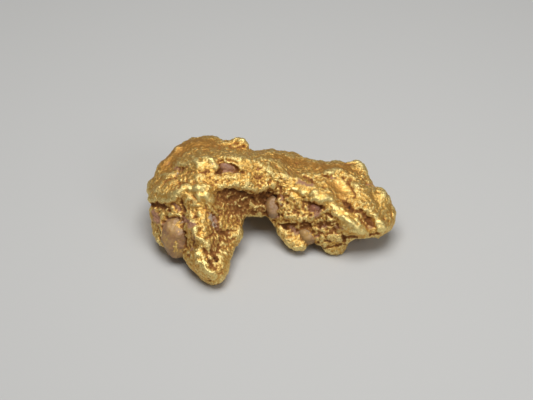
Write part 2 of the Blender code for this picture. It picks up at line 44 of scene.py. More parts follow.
# ---- Table top, light and camera ---------------------------------------------------------------
# The nugget lies on a plain, matt, pale table top, under one large soft light overhead and a weak
# one at its right. The camera looks down at its front at 40 degrees, from 118 mm away.
VIEW_UP = math.radians(40)
VIEW_CENTRE = Vector((-0.4588, 0.4885, 3.0))
VIEW_DISTANCE = 118.4
TOWARDS_EYE = Vector((0, -math.cos(VIEW_UP), math.sin(VIEW_UP)))
EYE = VIEW_CENTRE + VIEW_DISTANCE * TOWARDS_EYE
TABLE_SIZE = 1200
TABLE_COLOUR = (0.55, 0.55, 0.54)
ROOM_COLOUR = (1.0, 0.97, 0.93)
ROOM_STRENGTH = 0.18
OVERHEAD_PLACE = (0, -5, 120)
OVERHEAD_SIZE = 90
OVERHEAD_WATTS = 0.13
SIDE_PLACE = (90, -80, 80)
SIDE_SIZE = 50
SIDE_WATTS = 0.03
LENS_LENGTH = 100
LENS_FILM_WIDTH = 36
TABLE_ROUGHNESS = 0.8


def turned_to(obj, place, target):
    """Put the object at the place (mm), looking at the target (mm)."""
    obj.location = Vector(place) * MM
    obj.rotation_mode = "QUATERNION"
    obj.rotation_quaternion = (Vector(target) - Vector(place)).to_track_quat("-Z", "Y")


def soft_light(name, place, size, watts):
    lamp = bpy.data.lights.new(name, "AREA")
    lamp.size = size * MM
    lamp.energy = watts
    light = bpy.data.objects.new(name, lamp)
    bpy.context.scene.collection.objects.link(light)
    turned_to(light, place, (0, 0, 3))


def shader_material(name):
    """A new material, with its node tree and its Principled shader."""
    material = bpy.data.materials.new(name)
    material.use_nodes = True
    tree = material.node_tree
    return material, tree, tree.nodes["Principled BSDF"]


lens = bpy.data.cameras.new("camera")
lens.lens = LENS_LENGTH
lens.sensor_width = LENS_FILM_WIDTH
lens.clip_start = MM
camera = bpy.data.objects.new("camera", lens)
bpy.context.scene.collection.objects.link(camera)
turned_to(camera, EYE, VIEW_CENTRE)
bpy.context.scene.camera = camera
bpy.context.scene.view_settings.view_transform = "Standard"

soft_light("overhead_light", OVERHEAD_PLACE, OVERHEAD_SIZE, OVERHEAD_WATTS)
soft_light("side_light", SIDE_PLACE, SIDE_SIZE, SIDE_WATTS)
room = bpy.data.worlds.new("room")
room.use_nodes = True
room.node_tree.nodes["Background"].inputs["Color"].default_value = (*ROOM_COLOUR, 1)
room.node_tree.nodes["Background"].inputs["Strength"].default_value = ROOM_STRENGTH
bpy.context.scene.world = room

half = TABLE_SIZE / 2 * MM
table_mesh = bpy.data.meshes.new("table_top")
corners = [(-half, -half, 0), (half, -half, 0), (half, half, 0), (-half, half, 0)]
table_mesh.from_pydata(corners, [], [(0, 1, 2, 3)])
table_top = bpy.data.objects.new("table_top", table_mesh)
bpy.context.scene.collection.objects.link(table_top)
matt_table, _, shader = shader_material("matt_table")
shader.inputs["Base Color"].default_value = (*TABLE_COLOUR, 1)
shader.inputs["Roughness"].default_value = TABLE_ROUGHNESS
table_mesh.materials.append(matt_table)

# ---- Gold ---------------------------------------------------------------------------------------
# One lump of native gold. It grew in cracks of vein quartz and was rolled and hammered by river
# gravel: burnished on its ridges, hackly and stained brown in its hollows. It isn't worked by hand.
# Width of the squares of the first and the finished skin, in mm.
GOLD_SKIN = 0.12
GOLD_FINE_SKIN = 0.086

# Forms along paths on the seen side, in mm: half width, height, then u and v of each spot, where u is
# to the right and v up in the camera's view. A height above 0 is a ridge, below 0 a furrow, and a
# path of one spot is a boss or a pit.
GOLD_SWELLS = [
    (0.45, 0.36, -5.95, 0.1, -5.5, -0.1, -5.2, 0.3),
    (0.3, 0.28, -5.6, 0.65, -5.4, 0.45),
    (0.4, 0.22, -5.6, -0.7, -5.3, -1.1),
    (0.35, 0.18, -6.6, 1.0, -7.2, 0.6),
    (0.35, 0.2, -4.6, 0.3, -4.5, -0.2),
    (0.25, -0.12, -7.0, 1.3, -6.2, 1.45, -5.4, 1.35, -4.5, 1.35),
    (0.4, 0.16, 2.2, 1.7, 3.2, 1.1, 4.2, 0.7, 5.0, 0.6),
    (0.6, 0.22, -8.6, 2.3, -8.0, 3.0, -7.2, 3.9, -6.6, 4.6),
    (0.5, 0.2, 8.7, 1.3, 9.2, 0.7, 9.6, 0.0),
    (0.35, 0.22, -2.5, 4.7, -1.9, 4.5),
    (0.3, 0.12, 5.8, 3.2, 6.6, 3.3, 7.6, 2.9),
    (0.3, 0.12, -3.2, 1.2, -2.2, 1.2, -1.2, 1.4),
    (0.4, 0.16, -5.7, 3.1, -5.3, 2.9, -4.6, 3.1),
    (0.4, -0.14, -7.6, 2.7, -6.9, 2.3, -6.2, 2.2),
    (0.35, 0.12, -8.8, 0.9, -8.2, 0.6, -7.5, 0.5),
    (0.35, 0.12, -8.0, 1.95, -7.4, 2.0),
    (0.35, 0.12, -5.9, 2.0, -5.2, 1.85),
    (0.4, 0.12, -6.5, 4.2, -5.8, 4.6),
    (0.45, -0.12, -6.0, 3.7, -5.2, 4.1),
    (0.35, 0.14, -3.2, 3.2, -2.4, 3.0, -1.6, 2.6),
    (0.35, 0.12, -3.3, 1.7, -2.4, 1.8, -1.6, 1.7),
    (0.4, -0.1, -2.2, 2.2, -1.6, 2.1),
    (0.4, 0.1, 0.2, 3.6, 1.2, 3.5, 2.0, 3.2),
    (0.4, -0.12, 0.0, 3.0, 0.8, 2.7),
    (0.4, 0.14, 2.2, 1.1, 2.9, 0.6),
    (0.45, 0.1, 3.6, 2.9, 4.4, 2.6),
    (0.35, 0.14, 5.0, 2.15, 5.8, 2.25),
    (0.3, 0.2, 6.45, -0.35, 6.7, -0.65),
    (0.3, -0.1, 7.4, -1.0, 8.0, -1.5, 8.5, -2.1),
    (0.25, -0.08, 6.3, -0.1, 6.8, -0.8),
    (0.45, 0.14, 7.3, 1.1, 7.9, 0.8),
    (0.3, 0.2, 7.0, -1.1, 7.8, -1.7, 8.3, -2.2),
    (0.28, 0.14, -5.9, -2.0, -5.6, -2.7, -5.1, -3.3),
    (0.28, -0.12, -4.4, -2.0, -4.4, -2.9),
    (0.26, 0.14, -5.4, -4.4, -5.1, -5.1, -4.5, -5.8),
    (0.45, 0.14, 6.4, -2.1, 7.2, -2.4),
    (0.3, 0.14, 5.0, -3.0, 5.8, -3.1),
    (0.35, 0.12, 1.6, -1.3, 2.6, -1.5),
]

GOLD_FORMS = [
    # left lobe: gold rim, lip over the dark cavity, crack beside the boss
    (0.13, 0.1, -9.6, -0.6, -9.45, -1.4, -9.2, -2.2, -8.9, -3.0, -8.5, -3.6),
    (0.16, -0.08, -9.2, -0.35, -8.6, -0.4, -8.1, -0.55),
    (0.1, -0.05, -8.6, -0.3, -8.2, -0.45),
    (0.14, 0.14, -9.4, 0.05, -8.6, 0.0, -8.1, -0.05, -7.6, 0.05, -7.2, 0.2),
    (0.1, -0.08, -9.2, 0.35, -8.6, 0.4, -8.0, 0.45),
    (0.12, 0.12, -8.9, -1.7, -8.6, -1.9, -8.3, -2.0),
    (0.12, 0.1, -9.0, -2.3, -8.75, -2.6),
    (0.1, 0.1, -8.45, -2.35, -8.4, -2.9),
    (0.16, -0.08, -8.7, -2.2),
    (0.09, 0.1, -7.2, -1.0, -7.0, -1.1),
    (0.09, 0.1, -7.55, -1.2, -7.75, -1.3),
    (0.09, 0.08, -8.4, -1.05, -8.3, -1.25),
    (0.09, 0.1, -6.35, -1.25, -6.1, -1.2),
    (0.09, -0.09, -7.9, -0.85),
    (0.09, -0.09, -7.6, -0.85),
    (0.09, -0.09, -7.35, -1.2),
    (0.1, -0.2, -6.75, -0.15, -6.6, -0.6, -6.5, -1.0, -6.55, -1.35),
    (0.1, 0.1, -6.95, -0.1, -6.85, -0.6, -6.8, -1.0),
    (0.1, 0.1, -6.45, -0.1, -6.35, -0.6, -6.25, -1.0),
    (0.12, -0.08, -7.4, -0.3, -7.1, -0.6, -7.0, -0.9),
    (0.08, -0.09, -6.2, -1.35, -5.6, -1.35),
    (0.12, -0.14, -6.25, -4.4, -6.15, -4.6),
    # boss and the shelf behind it
    (0.2, 0.14, -6.6, 0.8, -6.2, 0.95, -5.6, 0.95, -5.0, 0.9),
    (0.18, 0.14, -5.0, 0.9, -4.75, 0.5, -4.7, 0.1),
    (0.12, -0.09, -5.9, 0.35, -5.6, -0.05),
    (0.12, 0.1, -6.3, 0.4, -6.15, 0.0, -5.9, -0.3),
    (0.12, 0.1, -5.35, 0.4, -5.4, 0.0, -5.6, -0.4),
    (0.08, -0.08, -4.5, -0.3),
    (0.1, -0.09, -5.7, 1.25),
    (0.1, -0.08, -6.7, 1.25, -6.2, 1.3, -5.7, 1.35, -5.0, 1.3),
    (0.12, 0.12, -6.1, 1.75, -5.7, 1.85, -5.2, 1.8),
    (0.1, 0.12, -8.5, 1.5, -8.2, 1.6, -7.9, 1.7),
    (0.09, -0.12, -8.15, 1.52, -7.8, 1.6, -7.4, 1.7),
    (0.12, 0.12, -8.0, 1.85, -7.7, 2.0, -7.3, 2.05),
    (0.1, -0.07, -7.2, 1.4, -6.9, 1.7, -6.6, 1.9),
    (0.12, -0.08, -7.1, 0.9, -6.9, 1.2),
    (0.12, 0.1, -7.7, 0.7, -7.4, 0.9, -7.3, 1.2),
    (0.1, -0.07, -8.5, 0.8, -8.1, 1.0, -7.9, 1.3),
    # orange slope at the upper left
    (0.26, -0.1, -7.95, 3.0, -7.65, 2.8),
    (0.08, -0.09, -6.95, 3.15),
    (0.12, 0.14, -7.0, 2.75, -6.7, 2.8),
    (0.07, -0.1, -6.8, 2.52, -6.55, 2.55, -6.35, 2.6),
    (0.12, -0.07, -6.3, 3.4, -6.1, 3.7),
    (0.14, 0.08, -7.6, 3.5, -7.1, 4.0, -6.6, 4.4),
    (0.14, 0.08, -6.3, 4.6, -5.8, 4.75, -5.3, 4.7),
    (0.12, -0.05, -5.6, 4.3, -5.1, 4.4, -4.6, 4.3),
    (0.12, 0.08, -4.6, 4.85, -4.2, 5.0),
    (0.12, -0.05, -6.7, 3.7, -6.3, 4.1, -5.8, 4.2),
    # crest
    (0.15, 0.14, -5.6, 3.3, -5.5, 2.9, -5.5, 2.5),
    (0.15, 0.12, -5.3, 3.4, -4.7, 3.3, -4.3, 3.0, -4.1, 2.7),
    (0.09, -0.14, -5.1, 2.2, -4.85, 2.15, -4.6, 2.25),
    (0.08, -0.08, -4.75, 2.75, -4.7, 2.95),
    (0.1, 0.1, -5.2, 2.5, -4.8, 2.5, -4.4, 2.6),
    (0.1, 0.1, -5.3, 1.95, -4.8, 1.9, -4.3, 2.0),
    # crown: quartz hollow, pits and gold wires
    (0.09, -0.14, -3.75, 2.75, -3.45, 2.9, -3.15, 3.0, -2.8, 2.75, -2.35, 2.55),
    (0.09, -0.2, -4.1, 2.15, -3.9, 2.3, -3.7, 2.45),
    (0.08, -0.17, -3.85, 2.1, -3.65, 2.25),
    (0.12, 0.12, -3.6, 3.05, -3.2, 3.15, -2.9, 2.98, -2.5, 2.85),
    (0.12, 0.1, -2.2, 2.6, -1.8, 2.4, -1.4, 2.2),
    (0.12, 0.14, -1.4, 2.2, -1.45, 1.8, -1.55, 1.3),
    (0.12, -0.08, -2.0, 1.3, -1.8, 1.45),
    (0.12, -0.09, -1.0, 1.8, -0.7, 1.75),
    (0.09, 0.12, -0.3, 2.6, 0.0, 2.3, 0.3, 2.0, 0.9, 1.8),
    (0.09, 0.1, 0.9, 2.4, 1.2, 2.15, 1.5, 1.9),
    (0.08, -0.07, 0.1, 2.5, 0.35, 2.25, 0.8, 2.05),
    (0.09, 0.1, -0.9, 1.4, -0.5, 1.5, -0.1, 1.5),
    (0.09, 0.1, 0.4, 1.4, 0.8, 1.5, 1.3, 1.5),
    (0.09, 0.1, -3.9, 1.7, -3.4, 1.8, -2.8, 1.75, -2.3, 1.9),
    (0.09, -0.08, -3.2, 1.5, -2.7, 1.45),
    (0.1, -0.08, -4.4, 1.5, -4.0, 1.45),
    (0.1, -0.07, -2.4, 3.2, -1.9, 3.1, -1.4, 3.2),
    (0.12, 0.08, -2.2, 3.5, -1.6, 3.4),
    (0.12, -0.07, -0.6, 3.2, 0.1, 3.1, 0.7, 2.9),
    (0.13, 0.08, -0.3, 3.6, 0.5, 3.5, 1.2, 3.3),
    (0.12, -0.2, -2.95, 3.85, -2.8, 3.8),
    (0.12, 0.12, -2.3, 4.65, -2.0, 4.75, -1.7, 4.55, -1.55, 4.3),
    (0.18, -0.09, -1.9, 4.3),
    (0.1, -0.09, -1.35, 3.6),
    # overhanging broken edge and the recess under it
    (0.1, 0.14, -3.8, 1.0, -3.3, 1.1, -3.0, 1.28, -2.6, 1.05, -2.0, 1.12),
    (0.1, 0.14, -1.9, 1.1, -1.5, 1.05, -1.1, 0.88, -0.8, 0.72),
    (0.1, 0.12, -0.75, 0.8, -0.5, 0.95, 0.0, 1.05, 0.6, 1.12, 1.1, 1.15),
    (0.13, -0.17, -3.0, 1.0, -2.75, 0.8, -2.5, 0.75),
    (0.1, -0.13, -1.85, 0.8, -1.7, 0.65),
    (0.13, -0.2, -0.45, 0.6, -0.25, 0.5, -0.35, 0.25),
    (0.1, -0.12, -1.15, 0.25, -1.0, 0.1),
    (0.11, -0.13, 0.15, 0.6, 0.4, 0.4, 0.95, 0.3),
    (0.09, -0.14, 0.3, 0.9, 0.45, 0.88),
    (0.09, -0.16, 1.1, 0.98, 1.2, 0.9),
    (0.1, 0.16, -2.1, 0.0, -1.8, 0.15, -1.6, 0.35),
    (0.09, 0.12, -3.4, 0.2, -3.1, 0.4, -2.9, 0.3),
    (0.1, 0.12, -2.6, -0.3, -2.3, -0.5, -2.0, -0.5),
    (0.1, -0.08, -2.5, -0.8, -2.1, -0.9),
    (0.1, 0.12, -1.5, -0.3, -1.1, -0.5, -0.7, -0.55),
    (0.1, -0.08, -1.2, -0.9, -0.8, -1.0),
    (0.09, 0.12, -0.6, -0.2, -0.3, -0.4, -0.1, -0.8),
    # leg: crooked wires, strands and pits
    (0.09, 0.16, -4.6, -0.6, -4.35, -0.75, -4.2, -0.9, -4.05, -1.1, -3.95, -1.3),
    (0.1, 0.12, -4.05, -0.5, -3.95, -0.7),
    (0.08, 0.14, -3.75, -0.5, -3.5, -0.65, -3.35, -0.8, -3.25, -0.95),
    (0.12, -0.09, -3.75, -0.85),
    (0.1, -0.09, -4.45, -1.0, -4.3, -1.2),
    (0.14, -0.07, -4.3, -1.6, -4.1, -1.9),
    (0.09, 0.1, -3.6, -1.5, -3.5, -1.9, -3.3, -2.1),
    (0.09, 0.1, -2.9, -1.2, -2.7, -1.5, -2.6, -1.8),
    (0.12, 0.18, -6.05, -1.9, -5.85, -2.15, -5.7, -2.35, -5.62, -2.8, -5.4, -3.2),
    (0.11, 0.16, -5.4, -3.2, -5.1, -3.28, -4.8, -3.3, -4.6, -3.5),
    (0.1, 0.14, -5.1, -1.5, -4.95, -2.1, -5.1, -2.7, -5.0, -3.0),
    (0.09, -0.1, -5.4, -1.8, -5.3, -2.3, -5.35, -2.8),
    (0.09, -0.09, -4.75, -1.6, -4.65, -2.2, -4.75, -2.8),
    (0.09, 0.12, -4.5, -2.5, -4.45, -2.9, -4.3, -3.2),
    (0.1, 0.12, -5.45, -2.15, -5.3, -2.1),
    (0.1, -0.14, -4.9, -3.95, -4.6, -3.98, -4.4, -4.05),
    (0.12, 0.18, -5.6, -4.1, -5.4, -4.15, -5.45, -4.5, -5.5, -4.9, -5.3, -5.1),
    (0.1, 0.16, -5.2, -4.5, -5.05, -4.85, -5.0, -5.2, -4.6, -5.7, -4.1, -6.0),
    (0.08, -0.1, -5.25, -4.8, -5.15, -5.3, -4.85, -5.7),
    (0.13, -0.17, -4.25, -4.25, -4.05, -4.5, -3.95, -4.8),
    (0.11, -0.14, -4.6, -4.9, -4.45, -5.15, -4.4, -5.4),
    (0.09, 0.12, -4.75, -4.4, -4.5, -4.6, -4.2, -5.0, -4.1, -5.4),
    (0.1, 0.12, -3.75, -4.1, -3.5, -4.25, -3.3, -4.2),
    (0.22, -0.1, -3.5, -3.7),
    (0.08, 0.08, -3.85, -3.6, -3.6, -3.35, -3.25, -3.45),
    (0.1, -0.08, -3.6, -5.6, -3.4, -5.8),
    (0.1, 0.12, -3.6, -6.3, -3.3, -6.4),
    (0.1, 0.12, -4.1, -6.6, -3.8, -6.7),
    (0.1, -0.08, -4.8, -6.2, -4.5, -6.45),
    (0.09, 0.12, -5.9, -5.1, -5.5, -5.6, -5.1, -6.0),
    (0.1, 0.12, -3.1, -2.2, -2.8, -2.15, -2.6, -2.25),
    (0.07, -0.12, -3.2, -2.45, -2.8, -2.5, -2.4, -2.4),
    (0.1, -0.12, -4.0, -2.45, -3.6, -2.7, -3.2, -2.85),
    (0.1, -0.1, -3.7, -3.15),
    (0.09, 0.12, -3.0, -3.05, -2.8, -3.15),
    (0.09, 0.12, -2.8, -3.75, -2.6, -3.85),
    (0.1, 0.1, -6.1, -3.4, -5.95, -3.8, -5.7, -4.0),
    # arm: long burnished ridge with its small pits
    (0.16, 0.14, 1.85, 1.35, 2.2, 1.0, 2.5, 0.75, 3.0, 0.5),
    (0.12, 0.12, 2.6, 0.15, 3.0, 0.08, 4.0, 0.02, 5.0, 0.12, 5.3, 0.0),
    (0.12, 0.08, 2.6, 1.2, 3.2, 0.9, 3.6, 0.7, 4.1, 0.6),
    (0.1, -0.05, 3.1, 0.35, 3.7, 0.3, 4.4, 0.3),
    (0.07, -0.07, 2.15, 0.5),
    (0.07, -0.07, 2.55, 0.45),
    (0.07, -0.08, 2.7, 0.32, 2.8, 0.3),
    (0.07, -0.08, 3.0, 0.35),
    (0.06, -0.05, 3.12, 0.5),
    (0.06, -0.05, 3.75, 0.5),
    (0.06, -0.05, 3.92, 0.4),
    (0.06, -0.05, 4.4, 0.5),
    (0.07, -0.07, 2.35, 0.7, 2.5, 0.62),
    (0.08, 0.1, 1.75, 0.9, 1.85, 0.5, 1.9, 0.1),
    (0.08, -0.08, 1.6, 1.2, 1.65, 0.8, 1.6, 0.4),
    (0.08, 0.08, 2.0, 0.4, 2.2, 0.2, 2.5, 0.1),
    (0.13, 0.14, 5.5, -0.95, 5.9, -1.3, 6.3, -1.6, 6.9, -1.95, 7.4, -2.3, 8.1, -2.8),
    (0.09, -0.05, 5.45, -0.55, 5.75, -0.85, 6.1, -1.15, 6.6, -1.5),
    (0.09, -0.05, 5.7, -0.45, 6.0, -0.8, 6.4, -1.15, 7.0, -1.5, 7.5, -1.9),
    (0.1, 0.08, 5.85, -0.3, 6.1, -0.75, 6.5, -1.1, 7.2, -1.35),
    # dark roof over the pink grain, specks beside it
    (0.13, -0.17, 3.65, -0.38, 4.1, -0.42, 4.5, -0.5),
    (0.09, -0.16, 4.5, -0.6, 4.57, -0.75),
    (0.09, -0.1, 3.15, -0.15, 3.45, -0.2),
    (0.07, -0.07, 4.65, -0.25),
    (0.07, -0.07, 5.0, -0.38),
    (0.08, -0.08, 5.45, -0.3),
    (0.07, -0.07, 4.9, -0.58),
    (0.07, -0.07, 5.15, -0.75),
    (0.08, 0.12, 4.65, -0.8, 4.75, -0.82),
    (0.08, 0.1, 5.4, -0.65, 5.4, -0.75),
    (0.08, 0.12, 4.15, -1.2, 4.45, -1.02, 4.8, -0.95),
    (0.08, 0.12, 5.15, -0.95, 5.35, -1.1, 5.5, -1.3),
    (0.1, -0.09, 4.8, -1.1, 5.05, -1.15, 5.25, -1.35),
    (0.08, -0.08, 5.75, -1.6),
    # gully: striated pit, notch and rough pocket
    (0.2, -0.16, 6.3, -0.25, 6.55, -0.5, 6.85, -0.75),
    (0.05, 0.07, 6.25, -0.3, 6.6, -0.5, 6.95, -0.6),
    (0.05, 0.07, 6.25, -0.5, 6.6, -0.75, 7.0, -0.85),
    (0.07, 0.1, 6.2, 0.05, 6.55, -0.1, 6.95, -0.35),
    (0.09, -0.17, 7.1, -1.05, 7.35, -0.98, 7.6, -0.82),
    (0.08, 0.14, 7.25, -0.75, 7.5, -0.68, 7.85, -0.72),
    (0.09, 0.12, 7.6, -1.5, 7.85, -1.75, 8.0, -1.95),
    (0.08, -0.09, 7.7, -1.85, 7.9, -1.65),
    (0.08, 0.1, 7.9, -1.15, 8.0, -1.4),
    (0.1, -0.12, 8.1, -1.4, 8.3, -1.42),
    (0.1, -0.08, 8.3, -1.9, 8.5, -2.2),
    (0.09, 0.08, 8.1, -2.1, 8.3, -2.4),
    (0.12, 0.14, 8.15, -1.2, 8.5, -1.25, 8.8, -1.55, 9.0, -1.9, 9.15, -2.3),
    (0.1, -0.16, 8.35, -2.75, 8.7, -2.72, 9.0, -2.62),
    # arm back slope: dish, ledges and pits
    (0.1, 0.1, 4.9, 2.15, 5.4, 2.25, 6.0, 2.3, 6.2, 2.1),
    (0.1, -0.1, 4.6, 1.95, 4.8, 1.8, 4.95, 1.78),
    (0.07, -0.05, 5.0, 1.8, 5.4, 1.82, 5.8, 1.8),
    (0.1, -0.14, 6.05, 1.82, 6.12, 1.78),
    (0.09, -0.08, 6.45, 1.5, 6.65, 1.25, 6.75, 0.95, 6.95, 0.7),
    (0.09, -0.1, 7.05, 0.5, 7.2, 0.45),
    (0.09, -0.1, 7.05, 0.25, 7.2, 0.25),
    (0.2, 0.12, 7.25, 1.2, 7.4, 1.1),
    (0.1, 0.1, 7.2, 0.68, 7.4, 0.6),
    (0.08, -0.07, 7.6, 0.85),
    (0.09, 0.1, 7.75, 0.6, 7.9, 0.5),
    (0.1, -0.08, 8.0, 1.2, 8.3, 1.35, 8.55, 1.2),
    (0.09, 0.1, 8.1, 0.95, 8.4, 0.95),
    (0.1, -0.07, 8.9, 0.9),
    (0.1, 0.09, 8.6, 0.7, 8.8, 0.4, 8.9, 0.1),
    (0.09, -0.07, 8.6, 0.05, 8.8, -0.1),
    (0.08, -0.08, 8.0, -0.4, 8.3, -0.35),
    (0.09, 0.1, 7.6, -0.4, 8.0, -0.25, 8.4, -0.25),
    (0.1, -0.07, 9.4, -1.5),
    (0.08, -0.07, 9.1, -0.9),
    (0.09, -0.09, 9.95, -1.05, 10.0, -1.35),
    (0.09, 0.12, 10.1, -1.1, 10.15, -1.35),
    (0.12, 0.08, 9.4, -0.4, 9.7, -0.9, 9.8, -1.4),
    (0.12, -0.12, 3.05, 1.8, 3.4, 1.65, 3.65, 1.55, 3.75, 1.3),
    (0.1, 0.08, 1.7, 1.75, 2.3, 1.75, 2.8, 1.6),
    (0.1, -0.07, 1.9, 1.95, 2.4, 1.9),
    (0.08, -0.09, 2.7, 1.95, 2.8, 2.1),
    (0.08, 0.1, 2.9, 2.05, 3.05, 2.05),
    (0.09, -0.1, 2.25, 3.0, 2.42, 2.9),
    (0.09, -0.1, 3.5, 3.15, 3.62, 3.08),
    (0.07, -0.07, 3.1, 2.35, 3.3, 2.35, 3.5, 2.45),
    (0.08, 0.08, 3.5, 2.55, 3.9, 2.5, 4.3, 2.4),
    (0.09, 0.08, 4.0, 1.55, 4.2, 1.4, 4.3, 1.15),
    (0.08, 0.08, 1.4, 2.2, 1.7, 1.95),
    (0.1, -0.08, 6.5, 2.85, 6.9, 2.95, 7.2, 2.85),
    (0.12, 0.08, 6.8, 3.15, 7.4, 3.1, 7.8, 2.7, 8.1, 2.2),
    (0.09, -0.05, 6.3, 2.5, 6.5, 2.2),
    (0.09, 0.08, 6.8, 2.1, 7.2, 2.0, 7.6, 1.9),
    # arm face: granular shelves, pockets and the foot
    (0.08, 0.14, 1.25, -0.25, 1.35, -0.4, 1.5, -0.52),
    (0.11, -0.1, 1.6, -0.25, 1.75, -0.3),
    (0.08, -0.07, 2.1, -0.15, 2.3, -0.2),
    (0.09, 0.1, 2.0, -0.6, 2.3, -0.45, 2.6, -0.5),
    (0.09, -0.1, 2.3, -0.85, 2.45, -0.95, 2.62, -1.08),
    (0.08, -0.09, 1.75, -1.12, 1.85, -1.18),
    (0.08, -0.09, 1.15, -1.2, 1.3, -1.28),
    (0.08, -0.08, 2.8, -1.3, 2.9, -1.38),
    (0.08, 0.12, 1.9, -1.25, 2.15, -1.4, 2.05, -1.6),
    (0.08, 0.12, 1.05, -0.9, 1.3, -1.05),
    (0.08, 0.12, 1.1, -1.75, 1.5, -1.72, 1.9, -1.65, 2.2, -1.7),
    (0.08, 0.1, 2.6, -1.75, 2.7, -1.9),
    (0.08, -0.07, 1.4, -0.85, 1.6, -0.75),
    (0.08, 0.1, 3.3, -1.25, 3.6, -1.4, 3.9, -1.3),
    (0.08, -0.07, 3.0, -0.9, 3.2, -1.1),
    (0.09, 0.1, 2.9, -0.6, 3.1, -0.8),
    (0.09, -0.12, 1.0, -1.9, 1.4, -1.95, 1.9, -1.88, 2.3, -1.85),
    (0.12, -0.12, 1.35, -2.1, 1.6, -2.2),
    (0.1, -0.12, 2.9, -1.85, 3.3, -1.82, 3.6, -1.9),
    (0.1, -0.12, 3.15, -2.0, 3.1, -2.25),
    (0.08, -0.08, 2.65, -2.1, 2.8, -2.2),
    (0.1, 0.12, 3.4, -2.05, 3.7, -2.1, 3.9, -2.3, 3.97, -2.8, 4.0, -3.1),
    (0.09, 0.12, 2.15, -3.42, 2.35, -3.3, 2.5, -3.2),
    (0.09, 0.12, 2.6, -3.4, 2.72, -3.55, 2.85, -3.68),
    (0.08, -0.09, 2.15, -3.6, 2.25, -3.65),
    (0.1, -0.07, 1.8, -2.7, 2.0, -2.9),
    (0.1, 0.1, 1.35, -2.6, 1.45, -2.8),
    (0.22, -0.08, 4.35, -2.15, 4.6, -2.05),
    (0.08, 0.12, 4.1, -2.42, 4.4, -2.48, 4.7, -2.35, 4.9, -2.1),
    (0.07, -0.12, 4.15, -2.6, 4.4, -2.58),
    (0.08, -0.07, 4.6, -2.85, 4.8, -2.65),
    (0.09, -0.09, 5.1, -2.48, 5.4, -2.42, 5.6, -2.5),
    (0.1, 0.12, 5.4, -2.9, 5.7, -2.95, 5.95, -3.1),
    (0.1, 0.1, 4.9, -1.55, 5.1, -1.6),
    (0.08, -0.07, 5.5, -2.1, 5.7, -2.25, 6.0, -2.1),
    (0.08, 0.1, 5.7, -2.3, 6.0, -2.4, 6.2, -2.3),
    (0.07, 0.12, 4.2, -2.9, 4.35, -3.15, 4.6, -3.4, 4.9, -3.5),
    (0.07, 0.1, 4.15, -3.25, 4.4, -3.5, 4.6, -3.62),
    (0.12, -0.08, 4.75, -3.3, 5.05, -3.25),
    (0.08, -0.09, 4.1, -3.35, 4.2, -3.4),
    (0.09, -0.09, 6.0, -3.55, 5.5, -3.65, 5.0, -3.8, 4.5, -3.85),
    (0.08, 0.1, 4.3, -4.1, 4.8, -4.15, 5.4, -4.15),
    (0.12, -0.14, 6.2, -2.85, 6.6, -2.9, 7.2, -3.0),
    (0.1, -0.1, 6.2, -3.1, 6.25, -3.5),
    (0.07, -0.09, 6.8, -3.4),
    (0.12, 0.1, 6.4, -2.35, 6.9, -2.45, 7.4, -2.45),
    # arm root, along the bay
    (0.1, -0.09, 0.35, -0.1),
    (0.08, -0.08, 0.95, 0.0, 0.95, -0.6, 0.9, -1.2),
    (0.08, -0.13, 0.25, -0.8, 0.0, -0.92, -0.2, -1.1),
    (0.06, -0.1, 0.05, -1.3, 0.35, -1.28),
    (0.06, -0.07, 0.05, -1.05, 0.3, -1.0),
    (0.07, 0.14, -0.12, -1.78, -0.08, -1.82),
    (0.08, -0.07, 0.3, -1.8, 0.7, -1.7),
    (0.08, 0.08, 0.2, -2.0, 0.6, -2.2, 0.9, -2.4),
]

